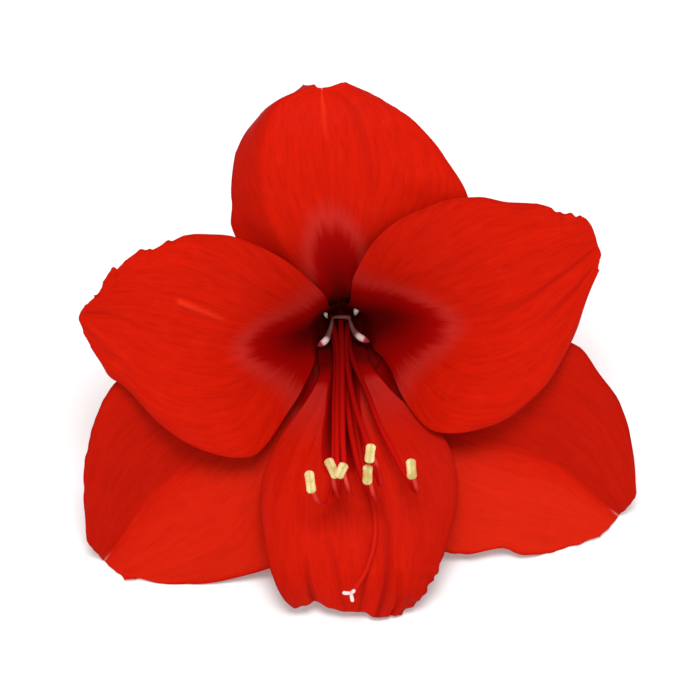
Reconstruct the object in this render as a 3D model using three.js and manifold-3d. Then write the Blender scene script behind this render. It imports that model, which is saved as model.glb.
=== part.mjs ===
// A large red amaryllis bloom, picked with a short green stalk and laid on a table.
// It rests on the cut end of its stalk and on its two lower side tepals.
// Units are millimetres and degrees. Up is +Z.

import * as THREE from 'three';
import Module from 'manifold-3d';

const wasm = await Module();
wasm.setup();

// Front view. The outlines below are drawn as a viewer sees the bloom from this far away:
// x to the right and y up from the throat, z towards the viewer.
const VIEW_DISTANCE = 1000;
const VIEW_CENTRE_X = 3.15;
const VIEW_CENTRE_Y = -9.1;

// The flower's own axis nods below the line of sight and turns a little to its right.
const NOD = 20;
const TURN = 5;

// How the bloom lies: its front view is tipped back until the viewer looks down at this angle.
const LOOK_DOWN = 56;
const CENTRE_X = 7.43;
const CENTRE_Y = -28.7;
const FLOOR_DROP = 35.32;

// The trumpet that the six tepals form: its mouth radius, depth, reach and rolled back rim.
const TRUMPET_MOUTH = 9;
const TRUMPET_DEPTH = 58;
const TRUMPET_REACH = 24;
const RECURVE_FROM = 50;
const RECURVE = 0.004;

// Tepals. The outer three spring from a wider ring on the tube than the inner three.
const TEPAL_THICKNESS = 0.8;
const TEPAL_ROWS = 22;
const TEPAL_COLUMNS = 15;
const ROOT_DEPTH = 1.5;
const SEAM_TOLERANCE = 0.01;
const SEAT_HEIGHT = 0.5;
const SEAT_SPREAD = 56;
const NECK_SPREAD = 50;
const OUTER = { seatRadius: 10.6, neckRadius: 13.4, neckHeight: 8.5 };
const INNER = { seatRadius: 8.2, neckRadius: 11, neckHeight: 9 };

// Each tepal has three rails: its clockwise edge, its midrib and its anticlockwise edge.
// A rail point is [x, y, lift]: where it is seen in the front view, and how far it stands
// in front of the trumpet. The angles say where the tepal leaves the tube. The channel along
// the midrib is [depth, sharpness]. The roll bends each margin back: [from, depth]. Margins
// and end are small steps outward: [t or v, step]. The curl bends the end back.
const TEPALS = {
  tepal_top: {
    ...OUTER, seatAngle: 90, neckAngle: 90,
    phase: 1.0, ruffle: 0.3, channel: [1, 3], roll: [[0.75, 1.5], [0.68, 5.5]], curl: 0,
    margins: [[[0.5, 1.2], [0.72, 1.4], [0.84, 0], [0.95, 1.4], [1, 0.3]],
      [[0.4, 3.5], [0.5, 2.5], [0.57, 0.1], [0.7, -0.2], [0.84, -2.2], [0.95, 0.9], [1, 0]]],
    end: [[-1, 0], [-0.85, 0.6], [0.25, 0.7], [0.7, 2], [1, 0.2]],
    clockwise: [[12.9, 11.2, 0], [31.8, 25.9, 0], [43.8, 40.9, 0], [34.6, 60.2, -2],
      [21.7, 74.9, -4], [1.4, 84.7, -6]],
    midrib: [[0, 14.3, 0], [-1, 31.1, 0], [-2.8, 49.3, 0], [-4.5, 65.5, 0],
      [-5.6, 76.3, -2], [-6.6, 82.2, -6]],
    anticlockwise: [[-11.2, 9.4, 0], [-29, 23.8, 0], [-37.8, 41.6, 0], [-39.2, 60.9, -2],
      [-32.9, 77.3, -6], [-13.3, 84, -6]],
  },
  tepal_lower_left: {
    ...OUTER, seatAngle: 210, neckAngle: 214,
    phase: 2.0, ruffle: 0.4, channel: [7.5, 1], roll: [[0.85, 1], [0.85, 0]], curl: 0,
    margins: [[[0.7, 0], [0.83, -0.8], [0.9, 0], [0.97, 1.9], [1, 1.5]],
      [[0.75, -0.3], [0.88, -0.2], [0.97, 1.1], [1, 1.2]]],
    end: [[-1, 1.5], [-0.4, 0.7], [0, 1.4], [0.4, 0.4], [1, 1]],
    clockwise: [[-15.7, -4.9, -4], [-37.1, -11.2, -3], [-61.6, -15, -2], [-80.1, -21.7, -2],
      [-90.3, -45.8, -3], [-89.2, -73.8, -4]],
    midrib: [[-10.1, -16.8, 0], [-24.8, -29.4, 0], [-39.5, -41.6, 0], [-55.3, -54.2, 0],
      [-70.3, -67.9, -1], [-84, -85, -3]],
    anticlockwise: [[-2.8, -23.8, -2], [-5.6, -42.3, -2], [-10.1, -63.3, -2], [-20.3, -82.6, -3],
      [-47.6, -91, -4.8], [-74.5, -88.5, -3]],
  },
  tepal_lower_right: {
    ...OUTER, seatAngle: 330, neckAngle: 326,
    phase: 0.4, ruffle: 0.5, channel: [7.5, 1], roll: [[0.85, 0], [0.85, 1]], curl: 0,
    margins: [[[0.7, 1], [0.755, 0.2], [0.805, -3], [0.85, 0.2], [0.9, 1.4], [0.98, 0.9], [1, -0.9]],
      [[0.7, 0.5], [0.77, -1.2], [0.84, 0.1], [0.9, 0.3], [0.96, 1.4], [1, 0.6]]],
    end: [[-1, -1.9], [-0.6, 0], [0, 1.9], [1, 1.9]],
    clockwise: [[3.8, -21.3, -2], [7.3, -40.6, -2], [15.4, -61.6, -3], [34.6, -78.8, -4],
      [66.1, -80.1, -3.78], [91.7, -74.2, -2]],
    midrib: [[10.8, -16.8, 0], [23.4, -30.1, 0], [39.9, -39.9, 0], [59.1, -46.9, 0],
      [80.1, -55.3, -1], [98.3, -68.6, -2]],
    anticlockwise: [[17.5, -5.6, -3], [39.9, -5.6, -2], [64.4, -5.2, -2], [85, -9.8, -2],
      [99.8, -31.8, -3], [103.2, -58.1, -3]],
  },
  tepal_upper_left: {
    ...INNER, seatAngle: 150, neckAngle: 163,
    phase: 0.7, ruffle: 0.6, channel: [1.8, 2], roll: [[0.85, 0], [0.85, 1]], curl: 1,
    margins: [[[0.5, -0.8], [0.63, 0.1], [0.765, -1.4], [0.83, 0], [0.865, -1], [0.915, 1.9],
      [0.96, 0.2], [1, -1]], [[0.85, 0], [0.925, 2.7], [0.98, 0.3], [1, -0.6]]],
    end: [[-1, -1.6], [-0.75, -3.6], [-0.5, 0.2], [0, 0.7], [0.5, -1], [0.85, -3.3], [1, -2.8]],
    clockwise: [[-6.6, 11.9, 4], [-20.6, 23.8, 5], [-38.1, 30.8, 6], [-58.1, 30.8, 4],
      [-76.6, 22, 2], [-87.1, 9.8, 0]],
    midrib: [[-14.3, -4.2, 4], [-29, -7, 5], [-44.1, -7.7, 5], [-61.6, -4.5, 5],
      [-78, 0.7, 3], [-91.7, 2.1, 0]],
    anticlockwise: [[-10.1, -15.4, 4], [-17.8, -30.1, 5], [-31.1, -46.2, 7], [-53.9, -42, 6],
      [-76.3, -22.4, 3], [-89.6, -7.3, 0]],
  },
  tepal_upper_right: {
    ...INNER, seatAngle: 30, neckAngle: 24,
    phase: 1.7, ruffle: 0.6, channel: [1.8, 2], roll: [[0.85, 1], [0.85, 0]], curl: 1,
    margins: [[[0.85, -0.6], [0.93, -0.2], [1, 0.3]],
      [[0.6, 1.2], [0.66, 1], [0.72, -0.4], [0.81, 0.3], [0.87, -0.9], [0.93, 0], [1, 0]]],
    end: [[-1, 1.5], [-0.65, -0.7], [-0.35, 1], [0.2, 0], [1, 0.4]],
    clockwise: [[12.6, -12.6, 4], [20.3, -25.9, 6.5], [33, -38.5, 9], [58.4, -33.9, 7],
      [78.8, -11.9, 3], [89.9, 17.1, 0]],
    midrib: [[15.4, 2.1, 4], [29.4, 0, 5], [45.1, 0.7, 5], [60.9, 5.6, 5],
      [76.6, 15.4, 3], [90.6, 26.6, 0]],
    anticlockwise: [[5.2, 16.8, 4], [15.4, 31.5, 5], [34.6, 41.6, 6], [56.7, 43.4, 4],
      [75.2, 40.2, 2], [86.4, 36.8, 0]],
  },
  tepal_bottom: {
    ...INNER, seatAngle: 270, neckAngle: 270,
    phase: 2.7, ruffle: 0.4, channel: [1.2, 3], roll: [[0.8, 2], [0.8, 2]], curl: 4,
    margins: [[[0.6, 0], [0.86, -0.4], [0.97, 1.1], [1, 0.9]],
      [[0.78, 0], [0.84, 1], [0.92, 1.6], [0.965, 3], [1, 1.7]]],
    end: [[-1, 1.1], [-0.8, -1], [-0.55, -2.8], [-0.35, -0.6], [-0.1, 0.5], [0.3, 0.3], [0.5, 2],
      [1, 1.8]],
    clockwise: [[-8, -18.2, 4], [-14.3, -29.4, 5], [-24.8, -47.6, 7], [-27.6, -66.8, 10],
      [-24.5, -87.5, 13], [-16.4, -101.1, 13]],
    midrib: [[0.7, -14.7, 4], [0.3, -30.1, 4], [0, -47.6, 5], [0.3, -65.8, 8],
      [1.8, -84.7, 12], [3.1, -101.5, 14]],
    anticlockwise: [[10.8, -15, 3], [19.9, -25.9, 4], [36, -41.6, 5], [40.2, -63.3, 9],
      [32.5, -87.1, 13], [21.3, -102.5, 14]],
  },
};
const RUFFLES = 5;

// Stamens. A path point is [x, y, z] in the front view. Each filament is rooted in the wall
// of the throat and ends at its seat, just behind the middle of its anther.
const FILAMENT_RING = 4;
const FILAMENT_ROOT = 5.8;
const FILAMENT_RADIUS = 1;
const FILAMENT_TIP_RADIUS = 0.55;
const ANTHER_RADIUS = 1.6;
const ANTHER_SEAT = 0.78;
const STAMENS = [
  { angle: 210, path: [[-1.8, -9.8, 10], [-2.2, -26.6, 26], [-2.4, -44.1, 38], [-2.9, -56, 45.5],
    [-4.9, -63.2, 50], [-8.4, -61.6, 54.5], [-10.3, -57.6, 57.4]],
  anther: [[-10.2, -59.2, 59.5], [-11.3, -51.2, 60.5]] },
  { angle: 150, path: [[-1, -9.8, 14], [-1.2, -26.6, 28.5], [-1.3, -44, 40.3], [-1, -55, 46.5],
    [-0.8, -60, 51], [-2.1, -57, 56], [-2.6, -52.6, 59.4]],
  anther: [[-1.4, -53.8, 61.5], [-4.8, -47, 62.5]] },
  { angle: 90, path: [[0.3, -9.8, 17], [0.4, -26.6, 31], [0.8, -44, 42], [1.9, -55, 48.5],
    [3.4, -59.8, 53.5], [2.4, -57, 59], [0.6, -53, 62.9]],
  anther: [[-1.1, -53.8, 65], [1.4, -48.6, 66]] },
  { angle: 30, path: [[1.7, -9.8, 14], [4.4, -26.6, 31], [8.6, -40, 42], [12.2, -52, 50],
    [14, -56.2, 55], [13.2, -51.6, 59.5], [12.2, -48.6, 62.4], [10.3, -47.2, 64]],
  anther: [[9.8, -48.6, 66], [10.6, -41.8, 67]] },
  { angle: 270, path: [[0.7, -9.8, 8], [2.1, -26.6, 24], [3.9, -40, 33.5], [7.4, -53.5, 42.5],
    [12.2, -61.8, 50], [11.2, -59.2, 55.5], [9.5, -54.4, 59.4]],
  anther: [[9.2, -56.2, 61.4], [9.4, -49.1, 62.4]] },
  { angle: 330, path: [[3.2, -9.8, 9], [8.8, -23.5, 23], [13.5, -35.5, 32], [19.4, -47, 40],
    [24.3, -56, 46.5], [26.9, -59, 51.5], [26.1, -56.4, 55.5], [24.9, -52.8, 58.4]],
  anther: [[24.9, -54.3, 60.5], [24.4, -47, 61.5]] },
];

// The style lies low over the bottom tepal. Its three stigma lobes fan out at its raised tip.
const STYLE_RADIUS = 0.8;
const STYLE_ROOT = 7;
const STYLE_PATH = [[2.4, -9.8, 6], [3.7, -26.6, 21.5], [5.6, -39, 28.5], [8.75, -54.6, 34.5],
  [11.6, -65, 37], [11.7, -76, 38.8], [8.6, -86.5, 39.8], [5.2, -92, 42.3], [3.7, -94, 45.6]];
const STIGMA_TURNS = [90, 210, 330];
const STIGMA_SPREAD = 60;
const STIGMA_REACH = 3.2;
const STIGMA_RADIUS = 0.7;

// Small pale scales that stand in the throat: [angle, ring radius at the tip, height].
const THROAT_SCALES = [[45, 7.2, 3.2], [146, 7, 2.6], [218, 7.6, 5], [328, 7.8, 5]];
const SCALE_RING = 6.7;
const SCALE_ROOT = 2.4;
const SCALE_RADIUS = 0.8;

// Tube, ovary and stalk along the flower's axis: [distance behind the mouth, radius].
// The tube's profile turns in at its mouth and runs down the funnel of the throat.
const TUBE_PROFILE = [[13, 5.2], [10, 5.9], [6, 7.8], [2.5, 10.1], [0.3, 11.2], [-0.4, 10.9],
  [-0.4, 8], [0.4, 7.4], [4.6, 4.6], [6, 2]];
const STALK_PROFILE = [[13.3, 5], [15, 6.1], [19, 6.9], [24, 6.4], [28, 5.1], [32, 4.6],
  [40, 4.6], [47, 4.8], [52.8, 5.2]];
const OVARY_LOBE = 0.7;
const STALK_BEND = 3;

// Colours seen in the photo, or usual for the hidden parts.
const RED = 0xd81c07;
const POLLEN = 0xf3ce89;
const GREEN = 0x7d9a4b;

const radians = THREE.MathUtils.degToRad;
const smooth = (from, to, x) => THREE.MathUtils.smoothstep(x, from, to);

const axis = new THREE.Vector3(
  Math.sin(radians(TURN)) * Math.cos(radians(NOD)),
  -Math.sin(radians(NOD)),
  Math.cos(radians(TURN)) * Math.cos(radians(NOD)),
);
const across = new THREE.Vector3(Math.cos(radians(TURN)), 0, -Math.sin(radians(TURN)));
const upward = new THREE.Vector3().crossVectors(axis, across);

// A point on a ring around the flower's axis.
function onRing(height, radius, angle) {
  return new THREE.Vector3()
    .addScaledVector(axis, height)
    .addScaledVector(across, radius * Math.cos(radians(angle)))
    .addScaledVector(upward, radius * Math.sin(radians(angle)));
}

// The point at depth z that the viewer sees at x, y in the front view.
function seenAt(x, y, z) {
  const nearer = 1 - z / VIEW_DISTANCE;
  return new THREE.Vector3(
    VIEW_CENTRE_X + (x - VIEW_CENTRE_X) * nearer,
    VIEW_CENTRE_Y + (y - VIEW_CENTRE_Y) * nearer,
    z,
  );
}

function trumpetHeight(radius) {
  const rise = 1 - Math.exp(-(radius - TRUMPET_MOUTH) / TRUMPET_REACH);
  const rolled = Math.max(0, radius - RECURVE_FROM);
  return TRUMPET_DEPTH * rise - RECURVE * rolled * rolled;
}

// The point seen at x, y that stands the given lift in front of the trumpet.
function onTrumpet(x, y, lift) {
  let z = 30;
  for (let step = 0; step < 200; step += 1) {
    const point = seenAt(x, y, z);
    const height = point.dot(axis);
    const radius = point.addScaledVector(axis, -height).length();
    z += 0.3 * (trumpetHeight(radius) + lift - height);
  }
  return seenAt(x, y, z);
}

// A smooth curve through a tepal rail, from its seat on the tube to its tip.
function railCurve(tepal, points, side) {
  const seat = onRing(SEAT_HEIGHT, tepal.seatRadius, tepal.seatAngle + side * SEAT_SPREAD);
  const neck = onRing(tepal.neckHeight, tepal.neckRadius, tepal.neckAngle + side * NECK_SPREAD);
  const seen = points.map(([x, y, lift]) => onTrumpet(x, y, lift));
  return new THREE.CatmullRomCurve3([seat, neck, ...seen], false, 'catmullrom', 0.5);
}

// The plain sheet of a tepal: t runs from seat to tip and v from edge to edge, -1 to 1.
function sheetPoint(rails, t, v) {
  return new THREE.Vector3()
    .addScaledVector(rails.clockwise.getPoint(t), (v * v - v) / 2)
    .addScaledVector(rails.midrib.getPoint(t), 1 - v * v)
    .addScaledVector(rails.anticlockwise.getPoint(t), (v * v + v) / 2);
}

// A soft line through the given [place, value] points.
function eased(points, x) {
  const last = points.findIndex(([place]) => place >= x);
  if (last < 0) return points.at(-1)[1];
  if (last === 0) return points[0][1];
  const [[from, low], [to, high]] = [points[last - 1], points[last]];
  return low + (high - low) * smooth(from, to, x);
}

// The tepal's inner face: the sheet with its channel, rolled margins, ruffles and curled end.
function tepalPoint(tepal, rails, t, v) {
  const step = 0.004;
  const t0 = Math.min(t, 1 - step);
  const lengthwise = sheetPoint(rails, t0 + step, v).sub(sheetPoint(rails, t0, v)).normalize();
  const sideways = sheetPoint(rails, t, v + step).sub(sheetPoint(rails, t, v - step)).normalize();
  const inward = new THREE.Vector3().crossVectors(lengthwise, sideways).normalize();

  const edge = Math.abs(v);
  const side = v < 0 ? 0 : 1;
  const { phase } = tepal;
  const [depth, sharpness] = tepal.channel;
  const channel = depth * (1 - edge) ** sharpness * smooth(0.12, 0.4, t)
    * (1 - 0.5 * smooth(0.85, 1, t));
  const [rollFrom, rollDepth] = tepal.roll[side];
  const roll = (rollDepth * Math.max(0, edge - rollFrom)) / (1 - rollFrom) * smooth(0.3, 0.5, t);
  const turn = 2 * Math.PI * RUFFLES * t + 1.9 * side;
  const wave = Math.sin(turn + phase) + 0.5 * Math.sin(1.9 * turn + 2.3 * phase);
  const ruffle = tepal.ruffle * edge ** 3 * wave * smooth(0.4, 0.65, t);
  const curl = tepal.curl * (Math.max(0, t - 0.85) / 0.15) ** 2;

  return sheetPoint(rails, t, v)
    .addScaledVector(inward, ruffle - channel - roll - curl)
    .addScaledVector(sideways, eased(tepal.margins[side], t) * edge ** 4 * Math.sign(v))
    .addScaledVector(lengthwise, eased(tepal.end, v) * smooth(0.9, 1, t));
}

// A closed mesh from its vertices and triangles, with its faces turned outward.
function closedGeometry(vertices, triangles) {
  const a = new THREE.Vector3();
  let volume = 0;
  for (const [i, j, k] of triangles) {
    volume += a.crossVectors(vertices[i], vertices[j]).dot(vertices[k]);
  }
  const index = triangles.flatMap(([i, j, k]) => (volume < 0 ? [i, k, j] : [i, j, k]));
  const geometry = new THREE.BufferGeometry().setFromPoints(vertices);
  geometry.setIndex(index);
  geometry.computeVertexNormals();
  return geometry;
}

// A thin solid around a grid of points: two faces half the thickness away, and a rim.
function thickSheet(grid, thickness) {
  const rows = grid.length;
  const columns = grid[0].length;
  const at = (i, j) => grid[THREE.MathUtils.clamp(i, 0, rows - 1)][
    THREE.MathUtils.clamp(j, 0, columns - 1)];
  const front = [];
  const back = [];
  for (let i = 0; i < rows; i += 1) {
    for (let j = 0; j < columns; j += 1) {
      const lengthwise = at(i + 1, j).clone().sub(at(i - 1, j));
      const sideways = at(i, j + 1).clone().sub(at(i, j - 1));
      const normal = lengthwise.cross(sideways).normalize();
      front.push(at(i, j).clone().addScaledVector(normal, thickness / 2));
      back.push(at(i, j).clone().addScaledVector(normal, -thickness / 2));
    }
  }
  const id = (i, j) => i * columns + j;
  const behind = front.length;
  const triangles = [];
  for (let i = 0; i < rows - 1; i += 1) {
    for (let j = 0; j < columns - 1; j += 1) {
      const [a, b, c, d] = [id(i, j), id(i, j + 1), id(i + 1, j + 1), id(i + 1, j)];
      triangles.push([a, b, c], [a, c, d]);
      triangles.push([a + behind, c + behind, b + behind], [a + behind, d + behind, c + behind]);
    }
  }
  const rim = [];
  for (let j = 0; j < columns - 1; j += 1) rim.push(id(0, j));
  for (let i = 0; i < rows - 1; i += 1) rim.push(id(i, columns - 1));
  for (let j = columns - 1; j > 0; j -= 1) rim.push(id(rows - 1, j));
  for (let i = rows - 1; i > 0; i -= 1) rim.push(id(i, 0));
  rim.forEach((a, k) => {
    const b = rim[(k + 1) % rim.length];
    triangles.push([a, a + behind, b + behind], [a, b + behind, b]);
  });
  return closedGeometry([...front, ...back], triangles);
}

// A solid skinned over rings of points, closed at both ends.
function ringSolid(rings) {
  const sides = rings[0].length;
  const vertices = rings.flat();
  const centre = (ring) => ring.reduce((sum, p) => sum.add(p), new THREE.Vector3())
    .divideScalar(sides);
  const first = vertices.push(centre(rings[0])) - 1;
  const last = vertices.push(centre(rings.at(-1))) - 1;
  const lastRing = (rings.length - 1) * sides;
  const triangles = [];
  for (let k = 0; k < sides; k += 1) {
    const next = (k + 1) % sides;
    triangles.push([first, next, k]);
    triangles.push([last, lastRing + k, lastRing + next]);
    for (let i = 0; i < rings.length - 1; i += 1) {
      const row = i * sides;
      const above = row + sides;
      triangles.push([row + k, row + next, above + next], [row + k, above + next, above + k]);
    }
  }
  return closedGeometry(vertices, triangles);
}

// A stem along a path, its radius given by how far along it is and by the angle round it.
function sweptSolid(path, steps, sides, radiusAt) {
  const curve = new THREE.CatmullRomCurve3(path, false, 'centripetal');
  const normal = across.clone();
  const rings = [];
  for (let i = 0; i <= steps; i += 1) {
    const t = i / steps;
    const centre = curve.getPoint(t);
    const tangent = curve.getTangent(t);
    normal.addScaledVector(tangent, -normal.dot(tangent)).normalize();
    const binormal = new THREE.Vector3().crossVectors(tangent, normal);
    const ring = [];
    for (let k = 0; k < sides; k += 1) {
      const angle = (2 * Math.PI * k) / sides;
      const radius = radiusAt(t, angle);
      ring.push(centre.clone()
        .addScaledVector(normal, radius * Math.cos(angle))
        .addScaledVector(binormal, radius * Math.sin(angle)));
    }
    rings.push(ring);
  }
  return ringSolid(rings);
}

// One solid from several that run into each other, without the slivers of their seams.
function fused(geometries) {
  const solids = geometries.map((geometry) => new wasm.Manifold(new wasm.Mesh({
    numProp: 3,
    vertProperties: geometry.getAttribute('position').array,
    triVerts: new Uint32Array(geometry.index.array),
  })));
  const whole = solids.reduce((joined, solid) => joined.add(solid)).asOriginal();
  const { vertProperties, triVerts } = whole.simplify(SEAM_TOLERANCE).getMesh();
  const geometry = new THREE.BufferGeometry();
  geometry.setAttribute('position', new THREE.BufferAttribute(vertProperties, 3));
  geometry.setIndex(new THREE.BufferAttribute(triVerts, 1));
  geometry.computeVertexNormals();
  return geometry;
}

// The first row of a tepal is its root, sunk in the tube.
function makeTepal(tepal) {
  const rails = {
    clockwise: railCurve(tepal, tepal.clockwise, -1),
    midrib: railCurve(tepal, tepal.midrib, 0),
    anticlockwise: railCurve(tepal, tepal.anticlockwise, 1),
  };
  const grid = [];
  for (let i = 0; i < TEPAL_ROWS; i += 1) {
    const row = [];
    for (let j = 0; j < TEPAL_COLUMNS; j += 1) {
      const v = (2 * j) / (TEPAL_COLUMNS - 1) - 1;
      row.push(tepalPoint(tepal, rails, i / (TEPAL_ROWS - 1), v));
    }
    grid.push(row);
  }
  grid.unshift(grid[0].map((point) => point.clone().addScaledVector(axis, -ROOT_DEPTH)));
  return thickSheet(grid, TEPAL_THICKNESS);
}

// The radius of a rod whose blunt ends fill out within the rounded share of its length.
function roundEnded(radius, t, rounded = 0.18) {
  const fromEnd = Math.min(t, 1 - t, rounded) / rounded;
  return radius * (0.35 + 0.65 * Math.sqrt(1 - (1 - fromEnd) ** 2));
}

// The anther's line from its low end over its raised middle to its high end.
function antherPath([low, high]) {
  const middle = low.map((value, i) => (value + high[i]) / 2);
  middle[2] += 0.5;
  return [low, middle, high].map((point) => seenAt(...point));
}

function makeFilament({ angle, path, anther }) {
  const start = onRing(-FILAMENT_ROOT, FILAMENT_RING, angle);
  const seen = path.map((point) => seenAt(...point));
  const [low, middle, high] = antherPath(anther);
  const along = high.sub(low).normalize();
  const behind = seen.pop().sub(middle);
  const seat = behind.addScaledVector(along, -behind.dot(along))
    .setLength(ANTHER_RADIUS + ANTHER_SEAT)
    .add(middle);
  const taper = FILAMENT_RADIUS - FILAMENT_TIP_RADIUS;
  return sweptSolid([start, ...seen, seat], 22, 6, (t) => FILAMENT_RADIUS - taper * t ** 3);
}

function makeAnther({ anther }) {
  return sweptSolid(antherPath(anther), 8, 8, (t) => roundEnded(ANTHER_RADIUS, t));
}

function stylePath() {
  return [onRing(-STYLE_ROOT, 0, 0), ...STYLE_PATH.map((point) => seenAt(...point))];
}

function makeStyle() {
  return sweptSolid(stylePath(), 22, 6, () => STYLE_RADIUS);
}

function makeStigmaLobe(turn) {
  const end = seenAt(...STYLE_PATH.at(-1));
  const forward = new THREE.CatmullRomCurve3(stylePath(), false, 'centripetal').getTangent(1);
  const outward = new THREE.Vector3(0, 0, 1).cross(forward).normalize()
    .applyAxisAngle(forward, radians(turn));
  const direction = forward.multiplyScalar(Math.cos(radians(STIGMA_SPREAD)))
    .addScaledVector(outward, Math.sin(radians(STIGMA_SPREAD)));
  const root = end.clone().addScaledVector(direction, -STIGMA_RADIUS / 2);
  const tip = end.clone().addScaledVector(direction, STIGMA_REACH);
  return sweptSolid([root, tip], 6, 6, (t) => roundEnded(STIGMA_RADIUS, t, 0.4));
}

function makeThroatScale([angle, tipRadius, height]) {
  const foot = onRing(-SCALE_ROOT, SCALE_RING, angle);
  const tip = onRing(height, tipRadius, angle);
  return sweptSolid([foot, tip], 3, 6, (t) => SCALE_RADIUS * (1 - 0.75 * t));
}

function makeTube() {
  const sides = 36;
  const ring = ([behind, radius]) => Array.from(
    { length: sides },
    (_, k) => onRing(-behind, radius, (360 * k) / sides),
  );
  return ringSolid(TUBE_PROFILE.map(ring));
}

// Ovary and stalk are one green piece. The ovary has three soft lobes.
function makeStalk() {
  const length = STALK_PROFILE.at(-1)[0] - STALK_PROFILE[0][0];
  const centres = STALK_PROFILE.map(([behind]) => {
    const along = (behind - STALK_PROFILE[0][0]) / length;
    return onRing(-behind, 0, 0).addScaledVector(across, STALK_BEND * along * along);
  });
  const radii = new THREE.CatmullRomCurve3(
    STALK_PROFILE.map(([, radius]) => new THREE.Vector3(radius, 0, 0)),
    false,
    'catmullrom',
    0.5,
  );
  const spine = new THREE.CatmullRomCurve3(centres, false, 'catmullrom', 0.5);
  const sides = 30;
  const steps = 24;
  const rings = [];
  for (let i = 0; i <= steps; i += 1) {
    const t = i / steps;
    const lobed = OVARY_LOBE * smooth(0, 0.15, t) * (1 - smooth(0.3, 0.5, t));
    const centre = spine.getPoint(t);
    const ring = [];
    for (let k = 0; k < sides; k += 1) {
      const angle = (360 * k) / sides;
      const radius = radii.getPoint(t).x + lobed * Math.cos(radians(3 * angle));
      ring.push(onRing(0, radius, angle).add(centre));
    }
    rings.push(ring);
  }
  return ringSolid(rings);
}

// All that is red grew together, so it is one piece: the tube, the tepals, the scales in the
// throat, the filaments and the style with its stigma.
function makeBloom() {
  return fused([
    makeTube(),
    ...Object.values(TEPALS).map(makeTepal),
    ...THROAT_SCALES.map(makeThroatScale),
    ...STAMENS.map(makeFilament),
    makeStyle(),
    ...STIGMA_TURNS.map(makeStigmaLobe),
  ]);
}

const laid = new THREE.Group();
laid.rotation.x = radians(90 - LOOK_DOWN);
laid.position.set(-CENTRE_X, -CENTRE_Y, FLOOR_DROP);

function add(name, geometry, color, roughness) {
  const material = new THREE.MeshStandardMaterial({ color, roughness, metalness: 0 });
  const mesh = new THREE.Mesh(geometry, material);
  mesh.name = name;
  laid.add(mesh);
}

add('bloom', makeBloom(), RED, 0.5);
add('ovary_and_stalk', makeStalk(), GREEN, 0.55);
STAMENS.forEach((stamen, i) => add(`anther_${i + 1}`, makeAnther(stamen), POLLEN, 0.85));

const part = new THREE.Group();
part.name = 'amaryllis_bloom';
part.add(laid);

export default part;
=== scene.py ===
# %% [markdown]
# # A red amaryllis bloom
# This lesson dresses a single open amaryllis, picked with a short stalk and laid on a table.
# A plain solid of the bloom is loaded first. It fixes every size and place. Then each part of the
# flower is made again with finer shapes and its own colours: petals, tube, stalk, stamens and
# style. The parts grow into each other, as on a real flower.

# %% Load the solid and note its box
import math

import bmesh
import bpy
import numpy as np
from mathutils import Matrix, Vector, noise


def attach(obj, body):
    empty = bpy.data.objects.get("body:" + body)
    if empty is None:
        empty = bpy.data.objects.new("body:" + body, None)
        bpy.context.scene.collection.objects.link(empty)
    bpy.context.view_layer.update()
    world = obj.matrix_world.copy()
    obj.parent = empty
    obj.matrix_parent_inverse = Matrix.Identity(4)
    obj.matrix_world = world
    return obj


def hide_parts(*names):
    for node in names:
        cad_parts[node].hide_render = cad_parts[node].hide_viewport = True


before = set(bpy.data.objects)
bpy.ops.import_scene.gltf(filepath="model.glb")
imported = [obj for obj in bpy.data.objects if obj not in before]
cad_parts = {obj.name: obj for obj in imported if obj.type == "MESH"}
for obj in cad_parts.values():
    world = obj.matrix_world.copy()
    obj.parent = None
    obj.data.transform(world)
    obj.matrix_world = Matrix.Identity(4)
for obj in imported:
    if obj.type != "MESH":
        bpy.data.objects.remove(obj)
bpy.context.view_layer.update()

# %% [markdown]
# ## The camera
# The bloom lies on its back, tipped up by its stalk, so its open face looks forwards and upwards.
# The camera looks down at 56 degrees, which faces the bloom squarely. A long lens is used, as for a
# flower portrait, so the petals nearest to the camera aren't swollen.

# %% Camera
LOOK_DOWN = math.radians(56)
AIM = Vector((-0.00428, 0.0212, 0.03026))
DISTANCE = 1.0
LENS = 146.9

camera = bpy.data.objects.new("camera", bpy.data.cameras.new("camera"))
bpy.context.scene.collection.objects.link(camera)
camera.location = AIM + DISTANCE * Vector((0, -math.cos(LOOK_DOWN), math.sin(LOOK_DOWN)))
camera.rotation_euler = (math.pi / 2 - LOOK_DOWN, 0, 0)
camera.data.lens = LENS
camera.data.sensor_width = 36
camera.data.clip_start = 0.05
bpy.context.scene.camera = camera
print("camera at", [round(x, 3) for x in camera.location])

# %% [markdown]
# ## The flower's own directions
# The shapes are easiest to think about as the viewer sees them: x to the right, y up and z towards
# the viewer, in millimetres from the throat. The flower's axis nods below the line of sight. The
# last function here turns such points into places on the table, in metres.

# %% From the front view to the table
# The viewer stands VIEW_DISTANCE in front of VIEW_CENTRE. PLACE is where the throat is, in the
# table's directions, when the bloom rests on the table.
VIEW_DISTANCE = 1000
VIEW_CENTRE = np.array([3.15, -9.1])
NOD = math.radians(20)
TURN = math.radians(5)
TIP_BACK = math.pi / 2 - LOOK_DOWN
PLACE = np.array([-7.43, 28.7, 35.32])

AXIS = np.array([math.sin(TURN) * math.cos(NOD), -math.sin(NOD), math.cos(TURN) * math.cos(NOD)])
ACROSS = np.array([math.cos(TURN), 0, -math.sin(TURN)])
UPWARD = np.cross(AXIS, ACROSS)


def unit(vectors):
    return vectors / np.linalg.norm(vectors, axis=-1, keepdims=True)


def on_ring(height, radius, degrees):
    """Points on a ring around the flower's axis."""
    angle = np.radians(np.asarray(degrees, float))[..., None]
    height, radius = np.asarray(height, float)[..., None], np.asarray(radius, float)[..., None]
    return height * AXIS + radius * (np.cos(angle) * ACROSS + np.sin(angle) * UPWARD)


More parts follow.
